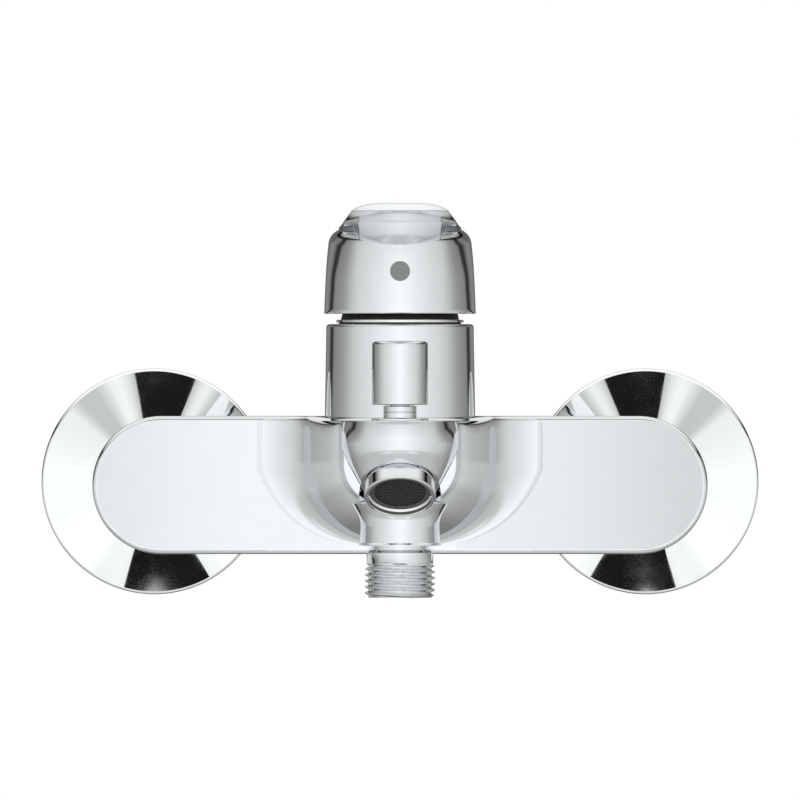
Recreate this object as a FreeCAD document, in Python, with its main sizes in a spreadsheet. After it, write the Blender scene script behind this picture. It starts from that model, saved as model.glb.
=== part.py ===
"""Wall-mounted single-lever bath and shower mixer tap, built piece by piece at its real size.

The origin lies on the wall plane, midway between the two inlets. +X is to the right of someone who
faces the tap, +Y goes into the wall and +Z is up, so the tap stands out towards -Y. A size that ends
in _out is a distance from the wall, and one that ends in _z is a height above the inlets.
"""
import FreeCAD, Part
import math
import operator
import os
import types

import Sketcher

FULL_TURN = 360
HEX_CORNERS = 6
HALF_CORNER_ANGLE = 30

# How far a cutting outline runs past the surface that it cuts
CUT_MARGIN = 1.0

SIZES = {
    # Wall connectors, flanges and unions
    "inlet_spacing": 150.0,
    "wall_thread_radius": 10.48,
    "wall_thread_length": 16.0,
    "thread_bevel": 0.8,
    "connector_bore_radius": 8.0,
    "connector_collar_radius": 12.0,
    "connector_collar_length": 2.5,
    "union_thread_radius": 13.22,
    "connector_end_out": 21.0,
    "flange_radius": 34.5,
    "flange_rim": 1.2,
    "flange_rim_round": 0.5,
    "flange_sheet": 0.9,
    "flange_neck_radius": 15.5,
    "flange_cone_out": 7.6,
    "flange_cone_round": 1.5,
    "flange_neck_length": 5.0,
    "thread_clearance": 0.08,
    "washer_thickness": 2.0,
    "washer_width": 4.0,
    "nipple_collar_radius": 12.6,
    "nipple_collar_length": 3.0,
    "nipple_tube_radius": 10.0,
    "nipple_thread_radius": 10.45,
    "nipple_thread_length": 11.5,
    "nut_flats": 30.0,
    "nut_flange_gap": 2.4,
    "nut_lip": 3.6,
    "nut_play": 0.2,
    "nut_corner_bevel": 1.4,
    "nut_bevel_inset": 0.6,
    # Body casting: bar
    "nut_bar_gap": 4.2,
    "bar_half_width": 92.6,
    "bar_top_z": 20.05,
    "bar_bottom_z": -21.5,
    "bar_depth": 28.0,
    "bar_front_round": 1.5,
    "bar_back_round": 1.5,
    "channel_radius": 6.0,
    "channel_depth": 19.0,
    "channel_wall": 4.5,
    # Body casting: cartridge dome
    "dome_ahead": 3.0,
    "dome_radius_low": 22.6,
    "dome_taper": 0.4,
    "dome_foot_z": 12.0,
    "dome_bevel_height": 1.6,
    "dome_bevel_width": 1.5,
    "dome_bevel_round": 0.7,
    "cavity_floor_z": 20.0,
    "cavity_radius": 17.5,
    "nut_bore_step": 0.9,
    "nut_bore_depth": 7.4,
    "port_circle_radius": 9.0,
    "port_radius": 3.0,
    # Body casting: hub and spout
    "spout_top_drop": 1.3,
    "hub_half_width": 27.9,
    "hub_sink": 2.0,
    "hub_flare_reach": 12.0,
    "hub_flare_rise": 6.3,
    "hub_cone_ahead": 10.2,
    "hub_cone_step": 4.0,
    "hub_waist_ahead": 15.5,
    "hub_waist_step": 3.2,
    "hub_throat_ahead": 22.5,
    "hub_throat_step": 1.4,
    "hub_bottom_lift": 2.2,
    "hub_top_round": 0.8,
    "spout_half_width": 17.0,
    "bowl_ahead": 14.0,
    "bowl_top_radius": 16.7,
    "bowl_flare": 0.9,
    "bowl_rim_height": 8.35,
    "outlet_ahead": 33.0,
    "outlet_height": 37.25,
    "collar_wall": 2.75,
    "collar_lip": 0.35,
    "collar_flare": 2.4,
    "collar_flare_rise": 11.6,
    "collar_flare_drop": 2.8,
    "mixed_way_radius": 4.5,
    "mixed_way_rise": 6.2,
    "spout_way_clearance": 0.25,
    # Aerator
    "aerator_ahead": 5.5,
    "aerator_drop": 10.3,
    "aerator_tilt": 34.3,
    "aerator_seat_edge": 1.0,
    "aerator_radius": 10.6,
    "aerator_length": 4.9,
    "aerator_edge_round": 0.5,
    "aerator_groove": 0.45,
    "aerator_thread_step": 0.7,
    "aerator_thread_length": 2.8,
    "aerator_mouth_radius": 9.5,
    "aerator_mouth_step": 0.5,
    "aerator_mouth_bevel": 0.6,
    "aerator_recess": 1.1,
    "aerator_screen_radius": 7.6,
    "aerator_screen_thickness": 0.8,
    "aerator_seal_thickness": 0.8,
    "aerator_way_radius": 6.4,
    "aerator_way_depth": 12.0,
    # Shower outlet
    "outlet_bore_radius": 9.05,
    "outlet_bore_depth": 9.9,
    "outlet_fit_clearance": 0.05,
    "shower_groove_radius": 8.8,
    "shower_groove_height": 1.3,
    "shower_neck_radius": 9.9,
    "shower_neck_slope": 0.8,
    "shower_neck_length": 3.1,
    "shower_thread_length": 10.3,
    "shower_thread_radius": 10.45,
    "shower_thread_depth": 1.16,
    "shower_thread_pitch": 1.814,
    "shower_thread_run_in": 0.5,
    "shower_end_bevel": 1.0,
    "shower_bore_radius": 6.2,
    "shower_exit_radius": 5.2,
    "valve_shoulder_drop": 2.7,
    "o_ring_wire": 0.75,
    "o_ring_rise": 6.0,
    "valve_body_clearance": 0.05,
    "valve_inset": 0.4,
    "valve_bore_radius": 4.6,
    "valve_seat_radius": 3.0,
    "valve_seat_thickness": 1.2,
    "poppet_rim": 0.5,
    "poppet_thickness": 1.3,
    "poppet_gap": 0.05,
    "poppet_stem_radius": 1.2,
    "poppet_stem_proud": 0.4,
    "poppet_travel": 3.0,
    "valve_spring_closed": 3.05,
    "guide_thickness": 1.0,
    "guide_clearance": 0.05,
    "guide_hole_radius": 1.0,
    "guide_hole_circle": 2.9,
    # Diverter
    "chamber_radius": 7.4,
    "seat_height": 3.6,
    "seat_opening_radius": 4.6,
    "seat_thickness": 1.3,
    "bush_depth": 4.2,
    "bush_thread_radius": 6.4,
    "bush_flange_radius": 8.5,
    "bush_flange": 0.6,
    "bush_neck_radius": 5.0,
    "bush_neck_height": 3.75,
    "bush_neck_round": 0.3,
    "stem_radius": 3.0,
    "stem_end_radius": 2.0,
    "stem_clearance": 0.05,
    "knob_radius": 8.35,
    "knob_gap": 0.3,
    "knob_height": 18.6,
    "knob_crown": 0.6,
    "knob_edge_round": 1.0,
    "knob_foot_round": 0.4,
    "knob_socket_depth": 11.0,
    "diverter_disc_clearance": 0.7,
    "diverter_seal": 1.2,
    "diverter_seal_inset": 0.1,
    "diverter_disc": 2.2,
    "diverter_travel": 9.0,
    "diverter_stop_gap": 0.1,
    "diverter_spring_radius": 3.75,
    "diverter_spring_gap": 0.2,
    "spring_wire": 0.35,
    "diverter_spring_turns": 8.0,
    "valve_spring_radius": 1.9,
    "valve_spring_wire": 0.25,
    "valve_spring_turns": 3.5,
    # Cartridge
    "cartridge_clearance": 0.1,
    "base_lift": 0.3,
    "base_height": 4.2,
    "base_seal_radius": 4.4,
    "base_seal_height": 1.6,
    "fixed_disc_clearance": 0.5,
    "disc_thickness": 3.0,
    "moving_disc_radius": 10.3,
    "moving_disc_back": 2.5,
    "mixing_pocket_depth": 1.4,
    "mixing_pocket_radius": 5.2,
    "carrier_height": 3.6,
    "carrier_floor": 0.7,
    "carrier_slot_clearance": 0.1,
    "carrier_slot_half_length": 3.6,
    "turret_gap": 0.3,
    "turret_clearance": 0.2,
    "turret_skirt_clearance": 0.6,
    "turret_shoulder_rise": 6.1,
    "turret_top_rise": 1.3,
    "turret_slot_front": 9.6,
    "turret_slot_back": 6.6,
    "slot_side_clearance": 0.05,
    "housing_wall": 2.1,
    "housing_lip_radius": 12.6,
    "housing_lip_thickness": 3.2,
    "ring_nut_step": 0.6,
    "ring_nut_height": 3.7,
    "ring_nut_slot": 3.0,
    "cap_ring_width": 1.1,
    "cap_ring_height": 1.45,
    "cap_ring_clearance": 0.1,
    "hood_radius": 18.0,
    "hood_wall": 0.8,
    "hood_opening_radius": 13.0,
    "pivot_sink": 1.7,
    "pin_radius": 1.5,
    "pin_clearance": 0.03,
    "pin_end_gap": 0.8,
    "spindle_side": 7.8,
    "spindle_foot_drop": 5.5,
    "spindle_rise": 24.5,
    "spindle_rod_radius": 3.0,
    "spindle_rod_root": 1.0,
    "rod_floor_gap": 0.5,
    # Lever
    "lever_gap": 1.55,
    "lever_overhang": 0.2,
    "lever_rim_round": 0.4,
    "lever_taper": 1.05,
    "lever_shoulder_rise": 21.3,
    "lever_corner_step": 0.45,
    "lever_corner_rise": 5.4,
    "lever_corner_round": 4.5,
    "lever_crown_rise": 2.9,
    "lever_wall": 2.4,
    "lever_ceiling_gap": 1.0,
    "lever_ceiling_round": 3.0,
    "lever_back_relief": 7.4,
    "paddle_root_half_width": 19.2,
    "paddle_root_reach": 21.0,
    "paddle_root_crown": 0.5,
    "paddle_mid_half_width": 17.6,
    "paddle_mid_reach": 40.0,
    "paddle_mid_rise": 1.6,
    "paddle_tip_half_width": 14.1,
    "paddle_tip_reach": 85.0,
    "paddle_tip_rise": 4.3,
    "paddle_tip_bow": 2.0,
    "paddle_tip_round": 5.0,
    "paddle_tip_margin": 0.3,
    "paddle_root_thickness": 1.5,
    "paddle_root_belly": 4.9,
    "paddle_mid_thickness": 1.9,
    "paddle_mid_belly": 0.6,
    "paddle_tip_thickness": 1.3,
    "paddle_tip_belly": 0.2,
    "paddle_tip_crown": 1.2,
    "paddle_low_round": 0.5,
    "paddle_edge_round": 0.6,
    "paddle_bow_share": 0.8,
    "boss_radius": 6.5,
    "boss_grip": 10.5,
    "boss_root": 0.5,
    "socket_clearance": 0.05,
    "socket_top_gap": 0.5,
    "screw_boss_reach": 12.0,
    "screw_boss_half_width": 5.0,
    "screw_boss_step": 1.0,
    "screw_radius": 2.5,
    "screw_length": 6.0,
    "screw_key_flats": 2.5,
    "screw_key_depth": 2.5,
    "plug_radius": 3.0,
    "plug_clearance": 0.04,
    "plug_rise": 3.4,
    "plug_depth": 2.2,
    "plug_proud": 0.1,
    "plug_round": 0.2,
}


class Dim:
    """A size that carries both its number and its formula over the sheet's cells."""

    def __init__(self, value, text):
        self.value = value
        self.text = text

    def __add__(self, other):
        return joined(operator.add, "+", self, other)

    def __radd__(self, other):
        return joined(operator.add, "+", other, self)

    def __sub__(self, other):
        return joined(operator.sub, "-", self, other)

    def __rsub__(self, other):
        return joined(operator.sub, "-", other, self)

    def __mul__(self, other):
        return joined(operator.mul, "*", self, other)

    def __rmul__(self, other):
        return joined(operator.mul, "*", other, self)

    def __truediv__(self, other):
        return joined(operator.truediv, "/", self, other)

    def __neg__(self):
        return joined(operator.mul, "*", -1, self)


def dim(size):
    """A plain number as a Dim."""
    if isinstance(size, Dim):
        return size
    return Dim(size, f"{size:.6f}")


def joined(operation, sign, first, second):
    a = dim(first)
    b = dim(second)
    return Dim(operation(a.value, b.value), f"({a.text} {sign} {b.text})")


def sine(angle):
    return Dim(math.sin(math.radians(angle.value)), f"sin({angle.text})")


def cosine(angle):
    return Dim(math.cos(math.radians(angle.value)), f"cos({angle.text})")


def bind(thing, place, size):
    """Ties one property of a document object to its formula."""
    thing.setExpression(place, dim(size).text)


doc = FreeCAD.newDocument("mixer_tap")
sheet = doc.addObject("Spreadsheet::Sheet", "Sizes")
for row, (alias, number) in enumerate(SIZES.items(), start=1):
    sheet.set(f"A{row}", alias)
    sheet.set(f"B{row}", str(number))
    sheet.setAlias(f"B{row}", alias)
doc.recompute()
s = types.SimpleNamespace(**{name: Dim(number, f"Sizes.{name}") for name, number in SIZES.items()})

pieces = []


def piece(label, across=0, out=0, up=0, turn=0):
    """A new sub-part. Its own axes stand at (across, out from the wall, up), turned about +X."""
    body = doc.addObject("PartDesign::Body", label)
    body.Label = label
    body.Placement = FreeCAD.Placement(
        FreeCAD.Vector(0, 0, 0), FreeCAD.Rotation(FreeCAD.Vector(1, 0, 0), dim(turn).value)
    )
    bind(body, "Placement.Base.x", across)
    bind(body, "Placement.Base.y", -dim(out))
    bind(body, "Placement.Base.z", up)
    if isinstance(turn, Dim):
        bind(body, "Placement.Rotation.Angle", turn)
    pieces.append(body)
    return body


def sketch_on(body, name, role, lift=0, slide=0, tilt=0):
    """A sketch on one of the sub-part's own planes, lifted off it, slid up it and tilted about X."""
    plane = [item for item in body.Origin.OriginFeatures if item.Role == role][0]
    sketch = body.newObject("Sketcher::SketchObject", name)
    sketch.AttachmentSupport = (plane, [""])
    sketch.MapMode = "FlatFace"
    sketch.AttachmentOffset = FreeCAD.Placement(
        FreeCAD.Vector(0, 0, 0), FreeCAD.Rotation(FreeCAD.Vector(1, 0, 0), dim(tilt).value)
    )
    bind(sketch, "AttachmentOffset.Base.y", slide)
    bind(sketch, "AttachmentOffset.Base.z", lift)
    if isinstance(tilt, Dim):
        bind(sketch, "AttachmentOffset.Rotation.Angle", tilt)
    return sketch


def pin_down(sketch, geometry, point, across, up):
    """Fixes one point of a sketch at bound distances from its origin."""
    for kind, size in (("DistanceX", dim(across)), ("DistanceY", dim(up))):
        index = sketch.addConstraint(Sketcher.Constraint(kind, -1, 1, geometry, point, size.value))
        name = f"{kind}_{geometry}_{point}"
        sketch.renameConstraint(index, name)
        bind(sketch, f"Constraints.{name}", size)


def fix_radius(sketch, geometry, size):
    index = sketch.addConstraint(Sketcher.Constraint("Radius", geometry, dim(size).value))
    name = f"Radius_{geometry}"
    sketch.renameConstraint(index, name)
    bind(sketch, f"Constraints.{name}", size)


def rounded_corner(before, corner, after, radius):
    """Where a rounding leaves its two sides, its centre, and whether it turns left."""
    to_before = (before - corner).normalize()
    to_after = (after - corner).normalize()
    half_angle = to_before.getAngle(to_after) / 2
    reach = radius / math.tan(half_angle)
    start = corner + to_before * reach
    end = corner + to_after * reach
    centre = corner + (to_before + to_after).normalize() * (radius / math.sin(half_angle))
    left = (corner - before).cross(after - corner).z > 0
    return start, end, centre, left


def outline(sketch, corners):
    """A closed outline through corners given as (across, up) or (across, up, rounding)."""
    count = len(corners)
    spots = [FreeCAD.Vector(dim(c[0]).value, dim(c[1]).value, 0) for c in corners]
    leave = list(spots)
    reach = list(spots)
    arcs = {}
    for i, corner in enumerate(corners):
        if len(corner) == 3:
            start, end, centre, left = rounded_corner(
                spots[i - 1], spots[i], spots[(i + 1) % count], dim(corner[2]).value
            )
            reach[i] = start
            leave[i] = end
            first, last = (start, end) if left else (end, start)
            circle = Part.Circle(centre, FreeCAD.Vector(0, 0, 1), dim(corner[2]).value)
            arc = Part.ArcOfCircle(circle, circle.parameter(first), circle.parameter(last))
            arcs[i] = (sketch.addGeometry(arc, False), left)
    lines = []
    for i in range(count):
        side = Part.LineSegment(leave[i], reach[(i + 1) % count])
        lines.append(sketch.addGeometry(side, False))
    for i, corner in enumerate(corners):
        before = lines[i - 1]
        after = lines[i]
        if i in arcs:
            arc, left = arcs[i]
            sketch.addConstraint(Sketcher.Constraint("Tangent", before, 2, arc, 1 if left else 2))
            sketch.addConstraint(Sketcher.Constraint("Tangent", arc, 2 if left else 1, after, 1))
            fix_radius(sketch, arc, corner[2])
            point = sketch.addGeometry(Part.Point(spots[i]), True)
            sketch.addConstraint(Sketcher.Constraint("PointOnObject", point, 1, before))
            sketch.addConstraint(Sketcher.Constraint("PointOnObject", point, 1, after))
            pin_down(sketch, point, 1, corner[0], corner[1])
        else:
            sketch.addConstraint(Sketcher.Constraint("Coincident", before, 2, after, 1))
            pin_down(sketch, after, 1, corner[0], corner[1])


def round_outline(sketch, radius, across=0, up=0):
    """A circle in a sketch."""
    centre = FreeCAD.Vector(dim(across).value, dim(up).value, 0)
    circle = sketch.addGeometry(
        Part.Circle(centre, FreeCAD.Vector(0, 0, 1), dim(radius).value), False
    )
    pin_down(sketch, circle, 3, across, up)
    fix_radius(sketch, circle, radius)


def turned(body, name, corners, cut=False):
    """Turns an outline of (radius, height) corners about the sub-part's own Z axis."""
    sketch = sketch_on(body, f"{name}_outline", "XZ_Plane")
    outline(sketch, corners)
    kind = "PartDesign::Groove" if cut else "PartDesign::Revolution"
    feature = body.newObject(kind, name)
    feature.Profile = sketch
    feature.ReferenceAxis = (sketch, ["V_Axis"])
    feature.Angle = FULL_TURN
    return feature


def tube(body, name, inner, outer, bottom, top):
    """A plain ring between two heights."""
    return turned(body, name, [(inner, bottom), (outer, bottom), (outer, top), (inner, top)])


def extruded(body, name, sketch, length, both_ways=False, cut=False, reverse=False):
    feature = body.newObject("PartDesign::Pocket" if cut else "PartDesign::Pad", name)
    feature.Profile = sketch
    feature.SideType = "Symmetric" if both_ways else "One side"
    feature.Reversed = reverse
    bind(feature, "Length", length)
    return feature


def drilled(body, name, radius, length, start, direction="up", tilt=None):
    """A round hole from a starting point (x, y, z) along one of the sub-part's directions."""
    turns = {
        "up": (1, 0, 0, 0),
        "down": (1, 0, 0, 180),
        "right": (0, 1, 0, 90),
        "left": (0, 1, 0, -90),
        "front": (1, 0, 0, 90),
        "tilted": (1, 0, 0, dim(tilt or 0).value),
    }
    x, y, z, angle = turns[direction]
    hole = body.newObject("PartDesign::SubtractiveCylinder", name)
    hole.Placement = FreeCAD.Placement(
        FreeCAD.Vector(0, 0, 0), FreeCAD.Rotation(FreeCAD.Vector(x, y, z), angle)
    )
    for axis, size in zip("xyz", start):
        bind(hole, f"Placement.Base.{axis}", size)
    if tilt is not None:
        bind(hole, "Placement.Rotation.Angle", tilt)
    bind(hole, "Radius", radius)
    bind(hole, "Height", length)
    return hole


def rounded(body, name, radius, wanted):
    """Rounds each edge of the sub-part so far for which wanted(edge) is true."""
    doc.recompute()
    base = body.Tip
    edges = [f"Edge{i}" for i, edge in enumerate(base.Shape.Edges, start=1) if wanted(edge)]
    if not edges:
        raise ValueError(f"{body.Label}: no edge to round for {name}")
    feature = body.newObject("PartDesign::Fillet", name)
    feature.Base = (base, edges)
    bind(feature, "Radius", radius)
    return feature


def level_with(edge, axis, number):
    """True if every point of an edge has this coordinate."""
    box = edge.BoundBox
    low = getattr(box, f"{axis}Min")
    high = getattr(box, f"{axis}Max")
    return abs(low - number) < 0.001 and abs(high - number) < 0.001


def hexagon(flats):
    """The corners of a hexagon, one flat facing +Y."""
    radius = flats / 2 / math.cos(math.radians(HALF_CORNER_ANGLE))
    angles = [math.radians(FULL_TURN / HEX_CORNERS * i) for i in range(HEX_CORNERS)]
    return [(radius * math.cos(a), radius * math.sin(a)) for a in angles]


def rectangle(half_width, low, high):
    return [(-dim(half_width), low), (half_width, low), (half_width, high), (-dim(half_width), high)]


def coil(body, name, mean_radius, wire, bottom, top, turns):
    """A compression spring wound about the sub-part's own Z axis, between two heights."""
    sketch = sketch_on(body, f"{name}_wire", "XZ_Plane")
    round_outline(sketch, wire, mean_radius, bottom + wire)
    feature = body.newObject("PartDesign::AdditiveHelix", name)
    feature.Profile = sketch
    feature.ReferenceAxis = (sketch, ["V_Axis"])
    feature.Mode = "height-turns-angle"
    bind(feature, "Height", top - bottom - 2 * wire)
    bind(feature, "Turns", turns)
    return feature


# Sizes that several pieces share, first along the way out from the wall
inlet_x = s.inlet_spacing / 2
flange_neck_out = s.flange_cone_out + s.flange_neck_length
nut_start_out = flange_neck_out + s.nut_flange_gap
washer_front_out = s.connector_end_out + s.washer_thickness
collar_front_out = washer_front_out + s.nipple_collar_length
nut_front_out = collar_front_out + s.nut_play + s.nut_lip
bar_back_out = nut_front_out + s.nut_bar_gap
bar_front_out = bar_back_out + s.bar_depth
channel_out = bar_back_out + s.channel_depth
dome_out = bar_front_out + s.dome_ahead
outlet_out = dome_out + s.outlet_ahead
bowl_out = outlet_out + s.bowl_ahead
aerator_out = bowl_out + s.aerator_ahead
paddle_root_out = dome_out + s.paddle_root_reach
paddle_mid_out = dome_out + s.paddle_mid_reach
paddle_tip_out = dome_out + s.paddle_tip_reach

# Heights of the body and of the shower outlet
bar_mid_z = (s.bar_top_z + s.bar_bottom_z) / 2
bar_end_radius = (s.bar_top_z - s.bar_bottom_z) / 2
bar_end_x = s.bar_half_width - bar_end_radius
spout_top_z = s.bar_top_z - s.spout_top_drop
hub_bottom_z = s.bar_bottom_z + s.hub_bottom_lift
bowl_crease_z = spout_top_z - s.bowl_rim_height
aerator_z = bowl_crease_z - s.aerator_drop
collar_bottom_z = spout_top_z - s.outlet_height
collar_flare_z = collar_bottom_z + s.collar_flare_rise
outlet_bore_top_z = collar_bottom_z + s.outlet_bore_depth
shower_groove_bottom_z = collar_bottom_z - s.shower_groove_height
shower_neck_top_z = shower_groove_bottom_z - s.shower_neck_slope
shower_thread_top_z = shower_neck_top_z - s.shower_neck_length
shower_bottom_z = shower_thread_top_z - s.shower_thread_length
valve_shoulder_z = collar_bottom_z - s.valve_shoulder_drop
o_ring_z = collar_bottom_z + s.o_ring_rise
lower_seat_z = outlet_bore_top_z + s.seat_height
mixed_way_z = lower_seat_z + s.mixed_way_rise
disc_bottom_z = lower_seat_z + s.diverter_seal
disc_top_z = disc_bottom_z + s.diverter_disc
upper_seat_z = disc_top_z + s.diverter_seal + s.diverter_travel + s.diverter_stop_gap
bush_bottom_z = spout_top_z - s.bush_depth
bush_neck_top_z = spout_top_z + s.bush_flange + s.bush_neck_height
knob_bottom_z = bush_neck_top_z + s.knob_gap
knob_top_z = knob_bottom_z + s.knob_height

# Heights of the cartridge and of the lever
base_bottom_z = s.cavity_floor_z + s.base_lift
base_top_z = base_bottom_z + s.base_height
fixed_disc_top_z = base_top_z + s.disc_thickness
carrier_bottom_z = fixed_disc_top_z + s.disc_thickness
carrier_top_z = carrier_bottom_z + s.carrier_height
turret_ceiling_z = carrier_top_z + s.turret_gap
turret_shoulder_z = turret_ceiling_z + s.turret_shoulder_rise
housing_lip_z = turret_shoulder_z + s.turret_gap
housing_top_z = housing_lip_z + s.housing_lip_thickness
dome_top_z = housing_top_z + s.ring_nut_height
turret_top_z = dome_top_z + s.turret_top_rise
cap_ring_top_z = dome_top_z + s.cap_ring_height
pivot_z = dome_top_z - s.pivot_sink
spindle_foot_z = pivot_z - s.spindle_foot_drop
spindle_top_z = pivot_z + s.spindle_rise
lever_rim_z = cap_ring_top_z + s.lever_gap
lever_shoulder_z = lever_rim_z + s.lever_shoulder_rise
lever_corner_z = lever_shoulder_z + s.lever_corner_rise
lever_crown_z = lever_corner_z + s.lever_crown_rise
lever_ceiling_z = spindle_top_z + s.lever_ceiling_gap
boss_bottom_z = spindle_top_z - s.boss_grip
plug_z = boss_bottom_z + s.plug_rise
paddle_mid_edge_z = lever_corner_z + s.paddle_mid_rise
paddle_tip_edge_z = lever_corner_z + s.paddle_tip_rise
paddle_root_low_z = lever_corner_z - s.paddle_root_thickness
paddle_belly_z = paddle_root_low_z - s.paddle_root_belly
paddle_mid_low_z = paddle_mid_edge_z - s.paddle_mid_thickness
paddle_mid_z = paddle_mid_low_z - s.paddle_mid_belly
paddle_tip_low_z = paddle_tip_edge_z - s.paddle_tip_thickness
paddle_tip_z = paddle_tip_low_z - s.paddle_tip_belly
paddle_tip_top_z = paddle_tip_edge_z + s.paddle_tip_crown

# Radii that fit one another
union_bore_radius = s.union_thread_radius + s.thread_clearance
nipple_port_radius = s.nipple_thread_radius + s.outlet_fit_clearance
cartridge_radius = s.cavity_radius - s.cartridge_clearance
nut_bore_radius = s.cavity_radius + s.nut_bore_step
housing_inner_radius = cartridge_radius - s.housing_wall
turret_radius = housing_inner_radius - s.turret_clearance
turret_neck_radius = s.housing_lip_radius - s.turret_clearance
pin_half_length = turret_neck_radius - s.pin_end_gap
dome_radius_high = s.dome_radius_low - s.dome_taper
lever_rim_radius = s.dome_radius_low + s.lever_overhang
lever_shoulder_radius = lever_rim_radius - s.lever_taper
lever_corner_radius = lever_shoulder_radius - s.lever_corner_step
bowl_radius = s.bowl_top_radius + s.bowl_flare
collar_radius = s.outlet_bore_radius + s.collar_wall
diverter_disc_radius = s.chamber_radius - s.diverter_disc_clearance
aerator_thread_radius = s.aerator_radius - s.aerator_thread_step
aerator_insert_radius = s.aerator_mouth_radius - s.aerator_mouth_step
spindle_half = s.spindle_side / 2
aerator_turn = 180 - s.aerator_tilt
aerator_lean = 90 - s.aerator_tilt
port_angles = {"outlet": -90, "hot": 150, "cold": 30}
ports = {
    name: (
        s.port_circle_radius * math.cos(math.radians(angle)),
        s.port_circle_radius * math.sin(math.radians(angle)),
    )
    for name, angle in port_angles.items()
}

# Body casting
mixer_body = piece("mixer_body")

# The bar is a flat-sided slab with half-round ends.
bar_outline = sketch_on(mixer_body, "bar_outline", "XZ_Plane", lift=bar_back_out)
end_x = bar_end_x.value
mid_z = bar_mid_z.value
end_radius = bar_end_radius.value
bar_sides = []
for side_sign in (1, -1):
    level = mid_z - side_sign * end_radius
    start_point = FreeCAD.Vector(-side_sign * end_x, level, 0)
    end_point = FreeCAD.Vector(side_sign * end_x, level, 0)
    bar_sides.append(bar_outline.addGeometry(Part.LineSegment(start_point, end_point), False))
bar_ends = []
for side_sign in (1, -1):
    end_circle = Part.Circle(
        FreeCAD.Vector(side_sign * end_x, mid_z, 0), FreeCAD.Vector(0, 0, 1), end_radius
    )
    quarter = math.pi / 2
    first_angle = -quarter if side_sign > 0 else quarter
    arc = Part.ArcOfCircle(end_circle, first_angle, first_angle + 2 * quarter)
    bar_ends.append(bar_outline.addGeometry(arc, False))
for before, after in zip(
    (bar_sides[0], bar_ends[0], bar_sides[1], bar_ends[1]),
    (bar_ends[0], bar_sides[1], bar_ends[1], bar_sides[0]),
):
    bar_outline.addConstraint(Sketcher.Constraint("Tangent", before, 2, after, 1))
fix_radius(bar_outline, bar_ends[0], bar_end_radius)
pin_down(bar_outline, bar_ends[0], 3, bar_end_x, bar_mid_z)
pin_down(bar_outline, bar_ends[1], 3, -bar_end_x, bar_mid_z)
extruded(mixer_body, "bar", bar_outline, bar_front_out - bar_back_out)
rounded(
    mixer_body,
    "bar_front_edge",
    s.bar_front_round,
    lambda edge: level_with(edge, "Y", -bar_front_out.value),
)
rounded(
    mixer_body,
    "bar_back_edge",
    s.bar_back_round,
    lambda edge: level_with(edge, "Y", -bar_back_out.value),
)

# The hub flares from the spout's sides onto the bar's front: a hollow fillet in bands at its foot,
# then a smooth skin through sections, and a straight throat under the knob.
HUB_TOP_SHARE = 0.98
HUB_CHEEK_SHARE = 0.65
HUB_CHEEK_ROUND = 0.5
HUB_KEEL_ROUND = 0.3
hub_depth = s.bar_top_z - hub_bottom_z
hub_foot = [
    # share of the fillet's rise, share of its reach, share of the hub's depth, share of width at the keel
    (0, 1, 1.0, 0.78),
    (0.19, 0.58, 0.972, 0.74),
    (0.51, 0.29, 0.936, 0.62),
    (1, 0, 0.886, 0.55),
]
hub_neck = [
    # distance from the bar, half width, share of the step down from the bar's top, then as above
    (s.hub_flare_rise, s.hub_half_width, 0, 0.886, 0.55),
    (s.hub_cone_ahead, s.hub_half_width - s.hub_cone_step, 0.14, 0.827, 0.5),
    (s.hub_waist_ahead, s.spout_half_width + s.hub_waist_step, 0.7, 0.769, 0.5),
    (s.hub_throat_ahead, s.spout_half_width + s.hub_throat_step, 1, 0.733, 0.5),
    (outlet_out - bar_front_out, s.spout_half_width, 1, 0.7, 0.5),
]


def hub_section(name, ahead, half_width, top_drop, share, keel):
    """A section across the hub at this distance from the bar's front."""
    section = sketch_on(mixer_body, name, "XZ_Plane", lift=bar_front_out + ahead)
    section_top_z = s.bar_top_z - top_drop
    section_bottom_z = s.bar_top_z - hub_depth * share
    cheek_z = section_top_z - (section_top_z - section_bottom_z) * HUB_CHEEK_SHARE
    right_half = [
        (half_width * keel, section_bottom_z, half_width * HUB_KEEL_ROUND),
        (half_width, cheek_z, half_width * HUB_CHEEK_ROUND),
        (half_width * HUB_TOP_SHARE, section_top_z, s.hub_top_round),
    ]
    left_half = [(-c[0], c[1], c[2]) for c in reversed(right_half)]
    outline(section, right_half + left_half)
    return section


foot_width = s.hub_half_width + s.hub_flare_reach
foot_sketches = [
    hub_section("hub_root_section", -s.hub_sink, foot_width, 0, hub_foot[0][2], hub_foot[0][3])
]
for index, (rise, reach, share, keel) in enumerate(hub_foot):
    half_width = s.hub_half_width + s.hub_flare_reach * reach
    foot_sketches.append(
        hub_section(f"hub_foot_section_{index}", s.hub_flare_rise * rise, half_width, 0, share, keel)
    )
foot = mixer_body.newObject("PartDesign::AdditiveLoft", "hub_foot")
foot.Profile = foot_sketches[0]
foot.Sections = foot_sketches[1:]
foot.Ruled = True
for name, stations, straight in (("hub_neck", hub_neck[:-1], False), ("hub_throat", hub_neck[-2:], True)):
    sketches = [
        hub_section(f"{name}_section_{index}", ahead, half_width, s.spout_top_drop * drop, share, keel)
        for index, (ahead, half_width, drop, share, keel) in enumerate(stations)
    ]
    loft = mixer_body.newObject("PartDesign::AdditiveLoft", name)
    loft.Profile = sketches[0]
    loft.Sections = sketches[1:]
    loft.Ruled = straight

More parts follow.
